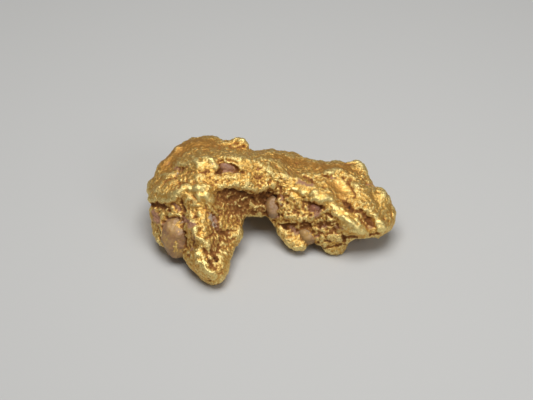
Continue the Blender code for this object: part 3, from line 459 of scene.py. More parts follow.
# Coloured marks along the same kind of paths: half width in mm, strength, then the spots.
EARTH_MARKS = [
    (0.28, 1.0, -9.2, -0.35, -8.6, -0.4, -8.1, -0.55),
    (0.14, 0.8, -7.9, -0.85, -7.6, -0.85),
    (0.12, 1.0, -6.7, -0.2, -6.6, -0.6, -6.5, -1.0, -6.55, -1.35),
    (0.1, 0.7, -6.2, -1.35, -5.6, -1.35),
    (0.14, 0.8, -6.25, -4.4, -6.1, -4.6),
    (0.12, 0.7, -4.5, -0.3),
    (0.12, 0.8, -5.7, 1.25),
    (0.1, 0.8, -8.15, 1.52, -7.4, 1.7),
    (0.1, 0.8, -6.95, 3.15),
    (0.1, 0.8, -6.8, 2.52, -6.35, 2.6),
    (0.22, 0.5, -6.1, 3.6),
    (0.13, 0.9, -5.1, 2.2, -4.6, 2.25),
    (0.13, 1.0, -3.75, 2.75, -3.15, 3.0, -2.8, 2.75, -2.35, 2.55),
    (0.22, 0.9, -4.0, 2.2, -3.7, 2.35),
    (0.2, 0.6, -1.0, 1.8, -0.6, 1.75),
    (0.18, 0.6, -1.9, 1.35),
    (0.14, 1.0, -2.9, 3.8),
    (0.22, 0.5, -1.9, 4.3),
    (0.14, 0.8, -1.35, 3.6),
    (0.3, 1.0, -3.3, 0.85, -2.6, 0.75, -1.8, 0.6, -1.1, 0.3),
    (0.32, 1.0, -0.5, 0.55, -0.3, 0.3),
    (0.26, 1.0, 0.15, 0.6, 0.5, 0.35, 0.95, 0.32),
    (0.12, 1.0, 0.3, 0.9, 0.45, 0.88),
    (0.13, 1.0, 1.1, 0.98, 1.2, 0.9),
    (0.14, 0.6, -2.1, -0.9),
    (0.16, 0.8, -4.9, -3.95, -4.4, -4.05),
    (0.24, 1.0, -4.2, -4.3, -3.95, -4.8),
    (0.2, 0.9, -4.6, -4.9, -4.4, -5.4),
    (0.22, 0.5, -3.5, -5.7),
    (0.24, 0.5, -4.6, -6.4),
    (0.1, 0.9, -3.2, -2.45, -2.4, -2.45),
    (0.22, 0.8, -4.0, -2.45, -3.2, -2.85),
    (0.2, 0.7, -3.7, -3.2),
    (0.2, 1.0, 3.65, -0.38, 4.1, -0.45, 4.55, -0.65),
    (0.13, 0.9, 3.15, -0.15, 3.45, -0.2),
    (0.16, 0.7, 4.8, -1.1, 5.25, -1.35),
    (0.1, 0.7, 5.45, -0.3),
    (0.32, 0.8, 6.35, -0.3, 6.85, -0.75),
    (0.14, 1.0, 7.1, -1.05, 7.6, -0.82),
    (0.34, 0.6, 7.9, -1.4, 8.3, -2.1),
    (0.12, 0.8, 8.1, -1.4, 8.3, -1.42),
    (0.2, 1.0, 8.35, -2.78, 9.0, -2.7),
    (0.13, 0.8, 4.6, 1.95, 4.95, 1.78),
    (0.14, 0.9, 6.1, 1.8),
    (0.12, 0.7, 6.5, 1.5, 6.75, 1.0, 7.1, 0.4),
    (0.12, 0.8, 7.1, 0.25),
    (0.1, 0.6, 7.6, 0.85),
    (0.14, 0.6, 8.9, 0.9),
    (0.12, 0.6, 8.0, -0.4, 8.3, -0.35),
    (0.12, 0.6, 9.4, -1.5),
    (0.1, 0.7, 10.0, -1.2),
    (0.14, 0.8, 3.05, 1.8, 3.65, 1.6, 3.75, 1.35),
    (0.12, 0.8, 2.75, 2.0),
    (0.12, 0.8, 2.35, 2.95),
    (0.12, 0.8, 3.55, 3.1),
    (0.1, 0.6, 3.1, 2.35, 3.5, 2.45),
    (0.2, 0.7, 6.5, 2.85, 7.2, 2.95),
    (0.16, 0.8, 1.65, -0.27),
    (0.12, 0.6, 2.2, -0.15),
    (0.12, 0.9, 2.35, -0.9, 2.6, -1.05),
    (0.1, 0.8, 1.8, -1.15),
    (0.12, 0.6, 1.25, -1.25),
    (0.12, 0.7, 2.85, -1.35),
    (0.16, 1.0, 1.0, -1.9, 1.5, -1.95, 2.3, -1.87),
    (0.24, 0.9, 1.4, -2.1, 1.6, -2.2),
    (0.18, 1.0, 2.9, -1.87, 3.6, -1.87),
    (0.16, 0.9, 3.15, -2.0, 3.1, -2.3),
    (0.12, 0.8, 2.75, -2.15),
    (0.1, 0.8, 2.15, -3.6),
    (0.26, 1.0, 3.3, -3.6, 3.7, -3.9),
    (0.16, 0.7, 4.1, -2.0, 4.5, -1.85, 4.9, -1.95),
    (0.1, 1.0, 4.15, -2.6, 4.4, -2.58),
    (0.14, 0.9, 5.1, -2.48, 5.6, -2.48),
    (0.14, 0.7, 5.7, -1.95),
    (0.12, 0.8, 4.15, -3.4),
    (0.14, 0.9, 6.0, -3.55, 5.3, -3.7, 4.5, -3.85),
    (0.3, 1.0, 6.15, -2.85, 6.6, -3.0, 7.3, -3.05),
    (0.22, 1.0, 6.25, -3.1, 6.3, -3.6),
    (0.26, 0.6, 7.4, -2.75, 7.9, -3.1),
    (0.09, 0.8, 0.35, -0.1),
    (0.14, 1.0, 0.25, -0.8, -0.2, -1.1),
    (0.1, 1.0, 0.05, -1.3, 0.35, -1.28),
    (0.2, 0.5, 0.1, -1.7, 0.6, -2.2, 1.2, -2.8),
    (0.25, 0.6, 6.3, -0.15, 6.8, -0.75),
    (0.4, 0.5, 7.6, -1.2, 8.4, -1.9),
    # thinner soil over the steep faces round the bay
    (0.9, 0.8, -3.0, 0.2, -1.8, -0.2, -0.3, -0.2),
    (0.7, 0.85, -2.2, -1.0, -1.0, -1.0, 0.0, -0.6),
    (0.9, 0.5, -3.8, -1.0, -3.4, -2.4, -3.2, -3.4),
    (0.6, 0.5, -3.6, -4.0, -3.6, -5.8),
    (0.8, 0.7, -4.4, -2.8, -4.4, -4.0, -3.9, -5.4),
    (1.0, 0.5, 1.0, -0.6, 1.6, -1.4, 3.0, -1.6, 4.8, -2.0),
    (0.6, 0.35, 4.6, -3.2, 5.6, -3.2),
    (0.8, 0.3, -8.6, -1.2, -7.2, -1.0),
]

ROSE_MARKS = [
    (0.4, 0.9, -9.1, -1.0, -8.7, -1.6),
    (0.2, 0.6, -8.7, -2.2),
    (0.22, 0.8, -8.2, -1.9, -7.4, -1.4, -6.5, -1.5, -5.9, -2.1),
    (0.18, 0.7, -8.3, -2.6, -8.1, -3.4, -7.5, -4.0),
    (0.18, 0.7, -5.8, -2.8, -5.8, -3.8, -6.1, -4.4),
    (0.3, 0.7, -7.3, -0.4, -6.95, -0.7),
    (0.12, 0.8, -6.6, -1.25),
    (0.3, 0.7, -6.5, -1.7, -6.0, -2.0),
    (0.22, 0.6, -6.0, -2.6, -5.9, -3.6),
    (0.3, 0.6, -7.8, 2.9),
    (0.2, 0.6, -6.3, 2.75),
    (0.22, 0.7, -7.2, 2.6, -6.75, 2.35),
    (0.18, 0.7, -7.15, 1.95),
    (0.34, 0.9, -3.5, 2.4, -2.6, 2.35),
    (0.2, 0.6, -0.7, 2.5),
    (0.18, 0.5, -2.0, 2.1),
    (0.18, 0.6, -0.3, 1.8),
    (0.18, 0.6, 0.7, 2.6),
    (0.14, 0.9, 1.55, 1.75),
    (0.34, 0.8, -4.3, -1.4, -4.0, -2.2),
    (0.16, 0.7, -3.75, -0.85),
    (0.36, 0.9, 0.2, 0.0, 0.5, -0.6, 0.7, -1.3),
    (0.24, 0.7, 1.2, 0.4, 1.3, 0.1),
    (0.4, 0.9, 3.6, -0.7, 4.2, -0.8, 4.0, -1.15),
    (0.36, 0.8, 2.6, 1.5, 3.2, 1.3, 3.6, 1.2),
    (0.16, 0.6, 1.9, 1.85, 2.5, 1.8),
    (0.1, 0.7, 5.0, 1.78, 5.6, 1.8),
    (0.16, 0.5, 6.6, 1.3),
    (0.3, 0.6, 6.5, -0.6, 6.8, -0.9),
    (0.36, 0.6, 8.1, -1.6, 8.3, -2.2),
    (0.22, 0.7, 8.1, 1.25, 8.5, 1.3),
    (0.16, 0.6, 8.6, 0.0, 8.8, -0.1),
    (0.12, 0.6, 7.6, 0.1),
    (0.14, 0.6, 7.5, 0.6),
    (0.16, 0.6, 9.4, -1.5),
    (0.14, 0.6, 9.1, -0.9),
    (0.2, 0.6, 5.1, -1.3),
    (0.24, 0.8, 4.3, -2.15, 4.7, -2.1),
    (0.14, 0.8, 4.2, -2.8),
    (0.22, 0.6, 4.8, -3.25, 5.1, -3.25),
    (0.3, 0.6, 5.6, -2.2, 6.1, -2.3),
    (0.14, 0.7, 5.55, -2.7),
    (0.34, 0.7, 2.0, -2.2, 2.5, -2.6),
    (0.14, 0.6, 1.25, -1.3),
    (0.14, 0.6, 1.75, -1.5),
    (0.2, 0.5, 2.6, -1.3),
    (0.2, 0.6, -2.4, -2.6),
    (0.2, 0.5, -0.3, -0.1),
]

# Quartz dust and specks left on the gold.
DUST_MARKS = [
    (0.34, 0.8, -4.5, -1.3, -4.2, -2.0),
    (0.16, 0.9, -7.0, 2.15),
    (0.11, 0.8, -7.3, 2.75),
    (0.12, 0.8, -5.1, 2.2),
    (0.08, 0.9, -5.3, -2.1),
    (0.08, 0.9, -3.0, -2.6),
    (0.09, 0.8, -4.2, 2.9, -3.9, 2.8),
    (0.08, 0.8, -4.45, -3.6),
    (0.3, 0.5, 0.9, 0.3, 1.2, -0.6),
    (0.12, 0.6, 0.1, 2.1),
    (0.1, 0.7, 4.9, -0.8),
    (0.08, 0.8, 6.6, -1.4),
    (0.14, 0.6, 2.1, -1.9),
]

# Where running gravel has burnished the gold smooth.
SMOOTH_MARKS = [
    (0.55, 0.9, -6.0, 0.9, -5.3, 0.8, -4.8, 0.3),
    (0.3, 0.7, -8.6, 0.2, -7.4, 0.4),
    (0.4, 0.7, -5.5, 3.0, -4.6, 3.0),
    (0.6, 0.9, 5.6, 1.1, 6.3, 0.7),
    (0.4, 0.8, 5.6, -0.3, 6.2, -1.1, 7.0, -1.7),
    (0.35, 0.9, 5.8, -1.3, 6.8, -2.1, 7.6, -2.5),
    (0.35, 0.7, 2.0, 1.1, 3.0, 0.5, 5.0, 0.1),
    (0.3, 0.7, 8.3, -1.2, 9.1, -2.2),
    (0.35, 0.8, -3.5, -3.7),
    (0.4, 0.6, -3.3, -4.6, -3.3, -5.7),
    (0.35, 0.6, -5.7, -2.4, -5.0, -3.3),
    (0.35, 0.6, -5.4, -4.4, -4.6, -5.6),
    (0.4, 0.6, 7.0, 3.0, 7.9, 2.5),
    (0.5, 0.6, -7.7, 2.9),
    (0.8, 0.6, 8.9, 0.4, 9.4, -0.6),
]

# Where the gold is crumbly, a mass of small blunt crystals.
CRUMBLY_MARKS = [
    (0.5, 0.9, -3.8, 1.1, -2.4, 1.0, -1.0, 1.2, 0.4, 1.4),
    (0.4, 0.8, -2.8, 2.4, -1.4, 2.1, 0.2, 2.0),
    (0.6, 0.9, 1.0, 1.2, 2.2, 0.6, 3.2, 0.2),
    (0.7, 0.8, 1.2, -0.8, 2.4, -1.4, 4.2, -1.6, 5.2, -1.9),
    (0.5, 0.8, 4.4, -3.2, 5.6, -2.9),
    (0.4, 0.8, -8.9, -1.9, -8.6, -2.8),
    (0.5, 0.7, -5.6, -1.8, -5.0, -3.0, -5.2, -4.4, -4.6, -5.4),
    (0.5, 0.8, -4.2, -0.8, -3.9, -2.4, -3.7, -3.6),
    (0.5, 0.8, -8.4, -0.9, -7.0, -0.9),
    (0.5, 0.7, 7.6, -0.5, 8.8, -1.4),
    (0.5, 0.6, 6.8, 1.6, 8.2, 1.0),
    (0.5, 0.6, -7.6, 2.3, -6.8, 2.0),
    (0.8, 0.7, -3.0, 0.2, -1.6, -0.2, 0.0, -0.4),
]

# Where an ochre film dulls the gold.
OCHRE_MARKS = [
    (1.1, 0.9, -8.0, 2.9, -6.8, 4.2, -5.6, 4.6, -4.6, 4.4),
    (0.6, 0.7, -5.8, 0.1),
    (0.5, 0.8, 4.8, 1.5, 5.6, 1.0, 6.1, 0.3),
    (0.7, 0.9, 1.0, 3.4, 3.0, 2.9, 4.4, 2.6, 5.6, 2.6, 6.5, 2.5),
    (0.35, 0.6, 5.8, -0.2, 6.1, -0.8),
    (0.45, 0.6, 1.8, -3.0),
    (0.3, 0.7, 9.8, -0.9, 9.9, -1.6),
    (0.5, 0.6, -1.8, 3.9),
    (0.6, 0.6, -1.6, -0.6, -0.4, -0.4),
]


def mm_points(mesh):
    """The mesh's points in mm and its normals."""
    points = np.empty(3 * len(mesh.vertices))
    mesh.vertices.foreach_get("co", points)
    normals = np.empty(len(points))
    mesh.vertices.foreach_get("normal", normals)
    return points.reshape(-1, 3) / MM, normals.reshape(-1, 3)


def set_points(mesh, points):
    mesh.vertices.foreach_set("co", (points * MM).ravel())
    mesh.update()


def skin_tree(mesh, growth=0):
    """A tree for finding the nearest point of the skin, grown outwards, or where a line meets it."""
    points, normals = mm_points(mesh)
    faces = [tuple(face.vertices) for face in mesh.polygons]
    return BVHTree.FromPolygons((points + growth * normals).tolist(), faces)


def new_skin(obj, size, softening):
    """Lay an even net of small squares over the object, as one skin, and soften it."""
    net = obj.modifiers.new("net", "REMESH")
    net.mode = "VOXEL"
    net.voxel_size = size * MM
    soft = obj.modifiers.new("soft", "SMOOTH")
    soft.factor = 0.5
    soft.iterations = softening
    graph = bpy.context.evaluated_depsgraph_get()
    obj.data = bpy.data.meshes.new_from_object(obj.evaluated_get(graph))
    obj.modifiers.clear()


def edge_ends(mesh):
    """The two points that each edge joins."""
    ends = np.empty(2 * len(mesh.edges), np.int64)
    mesh.edges.foreach_get("vertices", ends)
    return ends.reshape(-1, 2).T


def averaged(mesh, values, rounds):
    """Each point's value evened out with its neighbours', that many times."""
    first, second = edge_ends(mesh)
    here = np.concatenate([first, second])
    there = np.concatenate([second, first])
    count = np.bincount(here, minlength=len(values)) + 1
    columns = values.reshape(len(values), -1).T.copy()
    for _ in range(rounds):
        columns = np.array([(c + np.bincount(here, c[there], len(values))) / count for c in columns])
    return columns.T.reshape(values.shape)


# Normals are evened out this often, so that points pushed along them don't cross.
NORMAL_ROUNDS = 3


def pushed(mesh, push):
    """Move each point along its evened-out normal by its own push, in mm."""
    points, normals = mm_points(mesh)
    set_points(mesh, points + push[:, None] * averaged(mesh, normals, NORMAL_ROUNDS))


def line_to(u, v):
    """The direction from the eye to the spot u to the right and v up in the view, in mm."""
    spot = VIEW_CENTRE + Vector((u, v * math.sin(VIEW_UP), v * math.cos(VIEW_UP)))
    return (spot - EYE).normalized()


def laid_on(tree, path):
    """The path's spots, given as u, v, u, v and so on, laid on the skin."""
    hits = [tree.ray_cast(EYE, line_to(u, v))[0] for u, v in zip(path[::2], path[1::2])]
    return [np.array(hit) for hit in hits if hit is not None]


# A path can step back onto the same spot, so this is the least square of a step, in square mm.
SHORTEST_RUN = 1e-6


def nearness(points, path, width):
    """1 on the path, fading to 0 over the width."""
    if len(path) == 1:
        squared = ((points - path[0]) ** 2).sum(1)
    else:
        squared = np.full(len(points), np.inf)
        for start, end in zip(path[:-1], path[1:]):
            run = end - start
            along = np.clip((points - start) @ run / max(run @ run, SHORTEST_RUN), 0, 1)
            squared = np.minimum(squared, ((points - start - along[:, None] * run) ** 2).sum(1))
    return np.exp(-squared / width**2)


def cloud(points, size, shift):
    """Smooth noise, -1 to 1, with features about size mm across."""
    shift = Vector((shift, 2 * shift, -shift))
    return np.array([noise.noise(Vector(p) / size + shift) for p in points.tolist()])


# The noise's offsets are the same each time.
NOISE_SEED = 1
noise.seed_set(NOISE_SEED)
STRAY_SHIFT = Vector((5, -8, 3))


def strayed(points, size, distance):
    """The points pushed about at random, so that what is laid on them gets ragged borders."""
    strays = [noise.noise_vector(Vector(p) / size + STRAY_SHIFT) for p in points.tolist()]
    return points + distance * np.array(strays)


# How ragged the borders of marks, of forms and of pits are: size and distance, in mm.
RAGGED_MARKS = (0.5, 0.22)
RAGGED_FORMS = (0.6, 0.28)
RAGGED_PITS = (0.35, 0.10)


def marked(mesh, tree, marks, hidden_marks=()):
    """How strongly each point carries the marks, 0 to 1."""
    points, _ = mm_points(mesh)
    points = strayed(points, *RAGGED_MARKS)
    bare = np.ones(len(points))
    laid_marks = [(width, strength, laid_on(tree, path)) for width, strength, *path in marks]
    for width, strength, laid in [*laid_marks, *hidden_marks]:
        if laid:
            bare *= 1 - strength * nearness(points, laid, width)
    return 1 - bare


# A path on a side turned away takes steps this long in mm, and strays from its heading by this share.
HIDDEN_STEP = 0.5
HIDDEN_STRAYING = 0.4


def hidden_paths(mesh, tree, count, steps, widths, strengths, seed):
    """Marks or forms that wander at random over the sides turned away: (width, strength, path)."""
    draw = np.random.default_rng(seed)
    points, normals = mm_points(mesh)
    away = np.flatnonzero(((np.array(EYE) - points) * normals).sum(1) < 0)
    found = []
    for start in points[draw.choice(away, count)]:
        path, heading = [start], draw.normal(size=3)
        for _ in range(draw.integers(steps)):
            heading = heading / np.linalg.norm(heading) + draw.normal(size=3) * HIDDEN_STRAYING
            path.append(np.array(tree.find_nearest(path[-1] + HIDDEN_STEP * heading)[0]))
        found.append((draw.uniform(*widths), draw.uniform(*strengths), path))
    return found


# Forms are uneven along their length: share, and size in mm and shift of the noise.
UNEVEN_SHARE = 0.6
UNEVEN_NOISE = (0.7, 47)


def worked(mesh, forms):
    """Raise ridges and sink furrows along the normals."""
    points, _ = mm_points(mesh)
    ragged = strayed(points, *RAGGED_FORMS)
    tree = skin_tree(mesh)
    push = np.zeros(len(points))
    for width, height, *path in forms:
        laid = laid_on(tree, path)
        if laid:
            push += height * nearness(ragged, laid, width)
    pushed(mesh, push * (1 + UNEVEN_SHARE * cloud(points, *UNEVEN_NOISE)))


# Each crystal has its own random height, reached this steeply from its border.
CRYSTAL_DRAW = 7
CRYSTAL_STEEPNESS = 3


def crystals(points, size, shift):
    """Blunt crystals about size mm across, -1 to 1: some stand proud and some are sunk."""
    shift = Vector((shift, -shift, 3 * shift))
    heights = []
    for point in points.tolist():
        apart, middles = noise.voronoi(Vector(point) / size + shift)
        inside = min(1, CRYSTAL_STEEPNESS * (apart[1] - apart[0]))
        heights.append(noise.cell(middles[0] * CRYSTAL_DRAW) * inside)
    return np.array(heights)


def keep(mesh, name, values):
    """Store one value a point on the mesh, for its material."""
    layer = mesh.attributes.new(name, "FLOAT", "POINT")
    layer.data.foreach_set("value", values.astype(np.float32))


def moved_out(obj, distance):
    """Move the skin along its normals, outwards or, below 0, inwards."""
    points, normals = mm_points(obj.data)
    set_points(obj.data, points + distance * normals)


def without_bubbles(obj):
    """Keep the largest skin alone: points joined by edges take the lowest number among them."""
    shell = np.arange(len(obj.data.vertices))
    here, there = edge_ends(obj.data)
    while True:
        lowest = shell.copy()
        np.minimum.at(lowest, here, shell[there])
        np.minimum.at(lowest, there, shell[here])
        lowest = lowest[lowest]
        if (lowest == shell).all():
            break
        shell = lowest
    outer = np.bincount(shell).argmax()
    net = bmesh.new()
    net.from_mesh(obj.data)
    net.verts.ensure_lookup_table()
    bmesh.ops.delete(net, geom=[net.verts[i] for i in np.flatnonzero(shell != outer)], context="VERTS")
    net.to_mesh(obj.data)
    net.free()


# The quartz pieces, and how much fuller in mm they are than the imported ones.
QUARTZ_NODES = {
    "quartz_pebble": 0.02,
    "quartz_grain_arm": 0.12,
    "quartz_grain_crown": 0.14,
    "quartz_grain_bay": 0.16,
    "quartz_grain_pink": 0.12,
}
# The gold closes round the quartz: gaps up to twice this wide in mm fill up.
SEAT_FILL = 0.45
SEAT_SOFTENING = 5
# Wear has lowered the ridges by this share of their height.
WEAR = 0.35
# How much in mm the whole skin is raised again, to keep the lump's size.
WEAR_MADE_UP = 0.04
# Rounds of evening out that leave the broad shape alone.
BROAD_ROUNDS = 60
# The gold draws back to just below a grain's skin where less than the cover lies over it.
QUARTZ_COVER = 0.32
QUARTZ_PROUD = 0.07
# The cover is this uneven: share, and size in mm and shift of the noise.
COVER_SHARE = 0.9
COVER_NOISE = (0.3, 13)
# Only gold that faces as the grain does draws back, and it does so over a short edge in mm.
COVER_FACING = (0.45, 0.3)
COVER_EDGE = 0.10
COVER_ROUNDS = 2
# Gold that laps the edge of the pebble and of the arm's grain: (u, v, height above the ground) and
# radius, in mm.
GOLD_LAPS = [
    ((-8.58, -3.12, 1.3), 0.36),
    ((-8.08, -3.7, 1.1), 0.34),
    ((1.15, -2.55, 1.35), 0.4),
    ((1.55, -2.95, 1.1), 0.42),
    ((1.85, -3.4, 0.9), 0.42),
    ((2.35, -3.75, 0.75), 0.4),
    ((2.9, -3.8, 0.7), 0.38),
    ((3.3, -3.35, 0.95), 0.34),
]


def height_spot(u, v, height):
    """The point at that height above the ground which shows at (u, v)."""
    ray = line_to(u, v)
    return EYE + ray * ((height - EYE.z) / ray.z)


def add_solids(net):
    """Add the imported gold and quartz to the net."""
    for name in ["gold_nugget", *QUARTZ_NODES]:
        net.from_mesh(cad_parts[name].data)


# One closed skin lies round the gold, the quartz and the laps. It is moved out and drawn in again, so
# that narrow seats close, and the solids are added once more, so that no ridge is lost.
net = bmesh.new()
add_solids(net)
for spot, radius in GOLD_LAPS:
    ball = bmesh.ops.create_icosphere(net, subdivisions=3, radius=radius * MM)["verts"]
    bmesh.ops.translate(net, verts=ball, vec=height_spot(*spot) * MM)
gold_mesh = bpy.data.meshes.new("gold")
net.to_mesh(gold_mesh)
net.free()
gold = bpy.data.objects.new("gold", gold_mesh)
bpy.context.scene.collection.objects.link(gold)
new_skin(gold, GOLD_SKIN, 1)
moved_out(gold, SEAT_FILL)
new_skin(gold, GOLD_SKIN, 1)
without_bubbles(gold)
moved_out(gold, -SEAT_FILL)
net = bmesh.new()
net.from_mesh(gold.data)
add_solids(net)
net.to_mesh(gold.data)
net.free()
new_skin(gold, GOLD_SKIN, SEAT_SOFTENING)
without_bubbles(gold)

# Wear lowers the ridges, then the forms are raised and sunk.
points, normals = mm_points(gold.data)
worn_down = ((averaged(gold.data, points, BROAD_ROUNDS) - points) * normals).sum(1)
pushed(gold.data, WEAR * worn_down + WEAR_MADE_UP)
worked(gold.data, GOLD_SWELLS)
worked(gold.data, GOLD_FORMS)
new_skin(gold, GOLD_FINE_SKIN, 1)

# Hollows are hackly and granular, ridges are burnished: how much of the roughness wear, burnishing
# and an ochre film take away, and the height in mm over which wear sets in.
LOST_TO_WEAR, LOST_TO_BURNISH, LOST_TO_FILM = 0.3, 0.7, 0.5
WEAR_SPAN = 0.25
# The crust, in mm. Each row ends with the size and shift of its noise. Lumps: height.
CRUST_RISE = 0.06
LUMPS = [(0.05, 1.0, 3), (0.035, 0.5, 7)]
# Crystals: height all over, height added in patches, height added where the gold is crumbly.
CRYSTALS = [(0.02, 0.04, 0.03, 0.38, 2), (0, 0, 0.06, 0.65, 17), (0.03, 0, 0.04, 0.24, 31)]
CRYSTAL_PATCHES = (1.7, 23)
# Grit: height all over, height added where the gold is crumbly.
GRIT = [(0, 0.08, 0.32, 37), (0.08, 0, 0.2, 11)]
# Small holes: depth, and how much of the noise is left solid.
HOLE_DEPTH, HOLE_SOLID, HOLE_NOISE = 0.2, 0.3, (0.45, 19)
# Marks on the sides turned away: count, most steps, half widths and heights or strengths.
HIDDEN_MARKS = {
    "ridges": (45, 6, (0.18, 0.40), (0.06, 0.16)),
    "furrows": (45, 5, (0.15, 0.35), (-0.20, -0.08)),
    "earth": (110, 3, (0.10, 0.26), (0.5, 1.0)),
    "rose": (26, 3, (0.14, 0.36), (0.5, 0.9)),
    "dust": (14, 2, (0.08, 0.24), (0.5, 0.9)),
}
HIDDEN_SEED = 3
# A mark less wide than this sinks a pit: least depth, depth for its width, and share of its width.
WIDEST_PIT = 0.35
PIT_LEAST, PIT_SLOPE, PIT_SHARE = 0.04, 0.2, 0.8

points, normals = mm_points(gold.data)
level = ((points - averaged(gold.data, points, BROAD_ROUNDS)) * normals).sum(1)
worn = np.clip(0.5 + level / WEAR_SPAN, 0, 1)
tree = skin_tree(gold.data)
burnish = marked(gold.data, tree, SMOOTH_MARKS)
film = marked(gold.data, tree, OCHRE_MARKS)
crumbly = marked(gold.data, tree, CRUMBLY_MARKS)
rough = (1 - LOST_TO_WEAR * worn) * (1 - LOST_TO_BURNISH * burnish) * (1 - LOST_TO_FILM * film)
patchy = np.clip(0.5 + 1.5 * cloud(points, *CRYSTAL_PATCHES), 0, 1)
push = np.full(len(points), CRUST_RISE)
for height, size, shift in LUMPS:
    push += height * cloud(points, size, shift)
for height, in_patches, in_crumbs, size, shift in CRYSTALS:
    height = rough * (height + in_patches * patchy + in_crumbs * crumbly)
    push += height * crystals(points, size, shift)
for height, in_crumbs, size, shift in GRIT:
    push += rough * (height + in_crumbs * crumbly) * cloud(points, size, shift)
push -= rough * HOLE_DEPTH * np.clip(cloud(points, *HOLE_NOISE) - HOLE_SOLID, 0, 1)
hidden = {
    kind: hidden_paths(gold.data, tree, *numbers, seed)
    for seed, (kind, numbers) in enumerate(HIDDEN_MARKS.items(), HIDDEN_SEED)
}
ragged = strayed(points, *RAGGED_PITS)
pits = [(width, strength, laid_on(tree, path)) for width, strength, *path in EARTH_MARKS + ROSE_MARKS]
for width, strength, laid in [*pits, *hidden["earth"], *hidden["rose"]]:
    if laid and width < WIDEST_PIT:
        depth = (PIT_LEAST + PIT_SLOPE * width) * strength
        push -= depth * nearness(ragged, laid, PIT_SHARE * width)
for width, height, laid in [*hidden["ridges"], *hidden["furrows"]]:
    push += height * nearness(ragged, laid, width)
pushed(gold.data, push)

# The gold draws back from the quartz where it shows, and nothing goes below the ground.
points, normals = mm_points(gold.data)
covers = QUARTZ_COVER * (1 + COVER_SHARE * cloud(points, *COVER_NOISE))
least_facing, facing_span = COVER_FACING
quartz_trees = [skin_tree(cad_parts[name].data, growth) for name, growth in QUARTZ_NODES.items()]
sinking = np.zeros(len(points))
for grain in quartz_trees:
    for index, (point, normal) in enumerate(zip(points.tolist(), normals.tolist())):
        spot, outward, _, apart = grain.find_nearest(point, covers[index])
        if spot is not None:
            over = min(1, max(0, (outward.dot(normal) - least_facing) / facing_span))
            cover = math.copysign(apart, (Vector(point) - spot).dot(outward))
            edge = min(1, (covers[index] - cover) / COVER_EDGE)
            sinking[index] = max(sinking[index], (cover + QUARTZ_PROUD) * over * edge)
pushed(gold.data, -averaged(gold.data, sinking, COVER_ROUNDS))
points, _ = mm_points(gold.data)
points[:, 2] = np.clip(points[:, 2], 0, None)
set_points(gold.data, points)

tree = skin_tree(gold.data)
points, normals = mm_points(gold.data)
# How far each point stands above its close and its wide surroundings: rounds, and span in mm.
CLOSE_ROUNDS, CLOSE_SPAN = 8, 0.08
WIDE_ROUNDS, WIDE_SPAN = 80, 0.5
level = ((points - averaged(gold.data, points, CLOSE_ROUNDS)) * normals).sum(1)
wide_level = ((points - averaged(gold.data, points, WIDE_ROUNDS)) * normals).sum(1)

# How far each point is shut in by the gold around it: lines of sight go out from just off the
# skin, in directions that are spread evenly, and those too flat to it are left out.
SKY_DIRECTIONS = 26
SKY_REACH = 3.0
SKY_START = 0.03
SKY_LEAST = 0.15
SKY_ROUNDS = 3
turns = np.arange(SKY_DIRECTIONS) * math.pi * (3 - math.sqrt(5))
heights = 1 - 2 * (np.arange(SKY_DIRECTIONS) + 0.5) / SKY_DIRECTIONS
rings = np.sqrt(1 - heights**2)
directions = np.stack([rings * np.cos(turns), rings * np.sin(turns), heights], 1)
facing = np.clip(normals @ directions.T, 0, None)
facing[facing < SKY_LEAST] = 0
starts = points + SKY_START * normals
blocked = np.zeros(len(points))
rays = [Vector(d) for d in directions.tolist()]
for index, (start, weights) in enumerate(zip(starts.tolist(), facing.tolist())):
    for ray, weight in zip(rays, weights):
        if weight and tree.ray_cast(start, ray, SKY_REACH)[0] is not None:
            blocked[index] += weight
# Painted shade: this shut-in amount makes the gold's colour darker in its hollows, on top of the soil.
occlusion_shade = averaged(gold.data, blocked / facing.sum(1), SKY_ROUNDS)

keep(gold.data, "level", np.clip(0.5 + level / CLOSE_SPAN, 0, 1))
keep(gold.data, "wide_level", np.clip(0.5 + wide_level / WIDE_SPAN, 0, 1))
keep(gold.data, "occlusion_shade", occlusion_shade)
keep(gold.data, "earth", marked(gold.data, tree, EARTH_MARKS, hidden["earth"]))
keep(gold.data, "rose", marked(gold.data, tree, ROSE_MARKS, hidden["rose"]))
keep(gold.data, "dust", marked(gold.data, tree, DUST_MARKS, hidden["dust"]))
keep(gold.data, "crumbly", crumbly)
keep(gold.data, "ochre", film)
keep(gold.data, "burnish", burnish)


def joined(tree, value, socket):
    """Link a node's output to the socket, or set the socket to a plain value."""
    if isinstance(value, bpy.types.NodeSocket):
        tree.links.new(value, socket)
    elif value is not None:
        socket.default_value = value


def stored(tree, name):
    node = tree.nodes.new("ShaderNodeAttribute")
    node.attribute_name = name
    return node.outputs["Fac"]


def mottle(tree, size, detail, roughness=0.6):
    """Noise with features about size mm across."""
    place = tree.nodes.new("ShaderNodeTexCoord")
    node = tree.nodes.new("ShaderNodeTexNoise")
    tree.links.new(place.outputs["Object"], node.inputs["Vector"])
    node.inputs["Scale"].default_value = 1 / (size * MM)
    node.inputs["Detail"].default_value = detail
    node.inputs["Roughness"].default_value = roughness
    return node.outputs["Fac"]


def maths(tree, kind, first, second=None, third=None):
    node = tree.nodes.new("ShaderNodeMath")
    node.operation = kind
    for value, socket in zip((first, second, third), node.inputs):
        joined(tree, value, socket)
    return node.outputs[0]


def graded(tree, value, low, high):
    """0 below low, 1 above high, smooth in between."""
    node = tree.nodes.new("ShaderNodeMapRange")
    node.interpolation_type = "SMOOTHSTEP"
    joined(tree, value, node.inputs["Value"])
    node.inputs["From Min"].default_value = low
    node.inputs["From Max"].default_value = high
    return node.outputs["Result"]


def mix(tree, share, first, second):
    """The second colour laid over the first."""
    node = tree.nodes.new("ShaderNodeMix")
    node.data_type = "RGBA"
    for value, socket in ((share, node.inputs[0]), (first, node.inputs[6]), (second, node.inputs[7])):
        joined(tree, value, socket)
    return node.outputs[2]


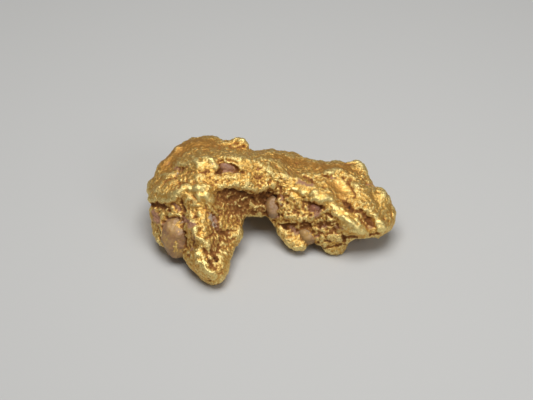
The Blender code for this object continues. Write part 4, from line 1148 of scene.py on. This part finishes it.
gold_metal, tree, shader = shader_material("native_gold")
shader.inputs["Specular IOR Level"].default_value = 0.25

PALE_GOLD = (0.98, 0.79, 0.32, 1)
RICH_GOLD = (0.80, 0.48, 0.12, 1)
OCHRE_FILM = (0.56, 0.28, 0.062, 1)
ROSE_FILM = (0.42, 0.215, 0.125, 1)
QUARTZ_DUST = (0.46, 0.36, 0.27, 1)
UMBER_FILM_AND_SHADE = (0.36, 0.155, 0.040, 1)
BROWN_EARTH_AND_SHADE = (0.20, 0.072, 0.015, 1)
BLACK_EARTH_AND_SHADE = (0.040, 0.016, 0.006, 1)
# Amounts of soil and painted shade over which the umber, the brown and the black come in.
UMBER_RANGE = (0.25, 0.65)
BROWN_RANGE = (0.70, 1.25)
BLACK_RANGE = (1.50, 2.20)
# Size of the crystal faces and depth of the finest grain, in mm.
FACET_SIZE = 0.17
GRAIN_DEPTH = 0.08


def about(tree, value, strength):
    """The value's swing about a half, times the strength."""
    return maths(tree, "MULTIPLY_ADD", value, strength, -0.5 * strength)


broad = mottle(tree, 1.4, 4)
middle = mottle(tree, 0.28, 5)
small = mottle(tree, 0.16, 3)
facets = tree.nodes.new("ShaderNodeTexVoronoi")
facets.inputs["Scale"].default_value = 1 / (FACET_SIZE * MM)
place = tree.nodes.new("ShaderNodeTexCoord")
tree.links.new(place.outputs["Object"], facets.inputs["Vector"])
facet_height = maths(tree, "MULTIPLY_ADD", stored(tree, "crumbly"), 0.7, 0.25)
facet = maths(tree, "MULTIPLY", facets.outputs["Distance"], facet_height)
fine = mottle(tree, 0.09, 3)
crumbs = maths(tree, "MULTIPLY_ADD", fine, 0.5, small)
crumbs = maths(tree, "SUBTRACT", crumbs, facet)
level = stored(tree, "level")
wide = stored(tree, "wide_level")
burnished = stored(tree, "burnish")

# Raised and burnished gold is pale, the rest is richer.
pale = maths(tree, "ADD", about(tree, level, 1.0), about(tree, wide, 0.4))
pale = maths(tree, "ADD", pale, about(tree, broad, 1.2))
pale = maths(tree, "ADD", pale, about(tree, small, 1.0))
pale = graded(tree, maths(tree, "MULTIPLY_ADD", burnished, 0.2, pale), -0.1, 0.75)
colour = mix(tree, pale, RICH_GOLD, PALE_GOLD)
ochre = maths(tree, "ADD", stored(tree, "ochre"), about(tree, middle, 0.9))
ochre = graded(tree, maths(tree, "SUBTRACT", ochre, about(tree, level, 0.6)), 0.15, 0.75)
colour = mix(tree, maths(tree, "MULTIPLY", ochre, 0.8), colour, OCHRE_FILM)

# Rose and umber films lie in the shallow hollows, and soil in the deep ones. The deep hollows also get
# painted shade: umber, brown and black that grow with how shut in a point is.
rose = graded(tree, maths(tree, "ADD", stored(tree, "rose"), about(tree, middle, 1.2)), 0.35, 0.75)
# Painted shade: the more the gold around shuts a point in, the darker its colour.
soil_and_shade = maths(tree, "MULTIPLY", stored(tree, "occlusion_shade"), 0.8)
soil_and_shade = maths(tree, "SUBTRACT", soil_and_shade, about(tree, level, 1.1))
soil_and_shade = maths(tree, "SUBTRACT", soil_and_shade, about(tree, wide, 0.9))
soil_and_shade = maths(tree, "MULTIPLY_ADD", stored(tree, "earth"), 0.8, soil_and_shade)
soil_and_shade = maths(tree, "ADD", soil_and_shade, about(tree, middle, 1.0))
soil_and_shade = maths(tree, "SUBTRACT", soil_and_shade, about(tree, small, 1.8))
soil_and_shade = maths(tree, "MULTIPLY_ADD", burnished, -0.5, soil_and_shade)
umber = graded(tree, soil_and_shade, *UMBER_RANGE)
brown = graded(tree, soil_and_shade, *BROWN_RANGE)
black = graded(tree, soil_and_shade, *BLACK_RANGE)
colour = mix(tree, umber, colour, UMBER_FILM_AND_SHADE)
grime = graded(tree, maths(tree, "SUBTRACT", 1, fine), 0.50, 0.62)
grime = maths(tree, "MULTIPLY", grime, maths(tree, "MULTIPLY_ADD", burnished, -0.3, 0.6))
colour = mix(tree, grime, colour, UMBER_FILM_AND_SHADE)
colour = mix(tree, rose, colour, ROSE_FILM)
dust = graded(tree, maths(tree, "ADD", stored(tree, "dust"), about(tree, middle, 1.2)), 0.35, 0.75)
colour = mix(tree, dust, colour, QUARTZ_DUST)
colour = mix(tree, brown, colour, BROWN_EARTH_AND_SHADE)
colour = mix(tree, black, colour, BLACK_EARTH_AND_SHADE)
tree.links.new(colour, shader.inputs["Base Color"])

# What lies on the gold, and the painted shade in its hollows, take away its metal shine.
bare = maths(tree, "MULTIPLY_ADD", umber, -0.6, 1)
bare = maths(tree, "MULTIPLY", maths(tree, "SUBTRACT", 1, rose), bare)
bare = maths(tree, "MULTIPLY", bare, maths(tree, "SUBTRACT", 1, brown))
bare = maths(tree, "MULTIPLY", bare, maths(tree, "SUBTRACT", 1, dust))
bare = maths(tree, "MULTIPLY", bare, maths(tree, "MULTIPLY_ADD", grime, -0.4, 1))
tree.links.new(bare, shader.inputs["Metallic"])
dull = maths(tree, "MULTIPLY_ADD", ochre, 0.12, 0.45)
dull = maths(tree, "MULTIPLY_ADD", stored(tree, "crumbly"), -0.08, dull)
dull = maths(tree, "MULTIPLY_ADD", maths(tree, "SUBTRACT", 1, bare), 0.3, dull)
tree.links.new(maths(tree, "ADD", dull, about(tree, small, 0.3)), shader.inputs["Roughness"])

bump = tree.nodes.new("ShaderNodeBump")
bump.inputs["Strength"].default_value = 1.0
bump.inputs["Distance"].default_value = GRAIN_DEPTH * MM
calm = maths(tree, "MAXIMUM", burnished, maths(tree, "MULTIPLY", ochre, 0.6))
calm = maths(tree, "MULTIPLY_ADD", calm, -0.65, 1)
tree.links.new(maths(tree, "MULTIPLY", crumbs, calm), bump.inputs["Height"])
tree.links.new(bump.outputs["Normal"], shader.inputs["Normal"])
gold.data.materials.clear()
gold.data.materials.append(gold_metal)
gold.data.shade_smooth()
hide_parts("gold_nugget")
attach(gold, "root")

# ---- Quartz ------------------------------------------------------------------------------------
# A rolled pebble and four smaller grains of the vein quartz that the gold grew in, stained pink and
# tan by iron. Each is held by the gold that closes round it.
QUARTZ_LOOKS = {
    "quartz_pebble": ((0.34, 0.18, 0.085), (0.48, 0.29, 0.11)),
    "quartz_grain_arm": ((0.28, 0.16, 0.065), (0.42, 0.27, 0.13)),
    "quartz_grain_crown": ((0.33, 0.16, 0.09), (0.50, 0.30, 0.20)),
    "quartz_grain_bay": ((0.30, 0.16, 0.065), (0.42, 0.26, 0.13)),
    "quartz_grain_pink": ((0.33, 0.12, 0.06), (0.45, 0.24, 0.17)),
}

RUST_STAIN = (0.24, 0.10, 0.04, 1)
GOLDEN_STAIN = (0.46, 0.26, 0.07, 1)
QUARTZ_SKIN = 0.06
# The grain's own unevenness: height, and size in mm and shift of the noise.
QUARTZ_LUMPS = [(0.12, 0.8, 5), (0.05, 0.3, 9), (0.02, 0.14, 4)]
QUARTZ_GLOW = 0.15
QUARTZ_GLOW_DEPTHS = (0.6, 0.35, 0.2)
QUARTZ_GRAIN_SHARE = 0.6
QUARTZ_GRAIN_DEPTH = 0.05

for name, (stain, clean) in QUARTZ_LOOKS.items():
    grain_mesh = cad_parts[name].data.copy()
    grain = bpy.data.objects.new(name.replace("quartz", "stained_quartz"), grain_mesh)
    bpy.context.scene.collection.objects.link(grain)
    new_skin(grain, QUARTZ_SKIN, 1)
    points, normals = mm_points(grain.data)
    push = np.full(len(points), QUARTZ_NODES[name])
    for height, size, shift in QUARTZ_LUMPS:
        push += height * cloud(points, size, shift)
    set_points(grain.data, points + push[:, None] * normals)
    material, tree, shader = shader_material(name + "_stone")
    patches = graded(tree, mottle(tree, 0.8, 5), 0.38, 0.62)
    colour = mix(tree, patches, (*stain, 1), (*clean, 1))
    rust = graded(tree, mottle(tree, 0.25, 5), 0.52, 0.7)
    colour = mix(tree, maths(tree, "MULTIPLY", rust, 0.5), colour, RUST_STAIN)
    colour = mix(tree, graded(tree, mottle(tree, 1.7, 2), 0.5, 0.7), colour, GOLDEN_STAIN)
    flecks = graded(tree, mottle(tree, 0.13, 4), 0.63, 0.69)
    colour = mix(tree, flecks, colour, RICH_GOLD)
    tree.links.new(flecks, shader.inputs["Metallic"])
    tree.links.new(colour, shader.inputs["Base Color"])
    shader.inputs["Subsurface Weight"].default_value = QUARTZ_GLOW
    shader.inputs["Subsurface Radius"].default_value = [depth * MM for depth in QUARTZ_GLOW_DEPTHS]
    shader.inputs["Subsurface Scale"].default_value = 1.0
    dull = maths(tree, "MULTIPLY_ADD", mottle(tree, 0.15, 4), 0.4, 0.2)
    tree.links.new(dull, shader.inputs["Roughness"])
    bump = tree.nodes.new("ShaderNodeBump")
    bump.inputs["Strength"].default_value = QUARTZ_GRAIN_SHARE
    bump.inputs["Distance"].default_value = QUARTZ_GRAIN_DEPTH * MM
    tree.links.new(mottle(tree, 0.12, 5), bump.inputs["Height"])
    tree.links.new(bump.outputs["Normal"], shader.inputs["Normal"])
    grain.data.materials.clear()
    grain.data.materials.append(material)
    grain.data.shade_smooth()
    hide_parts(name)
    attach(grain, "root")
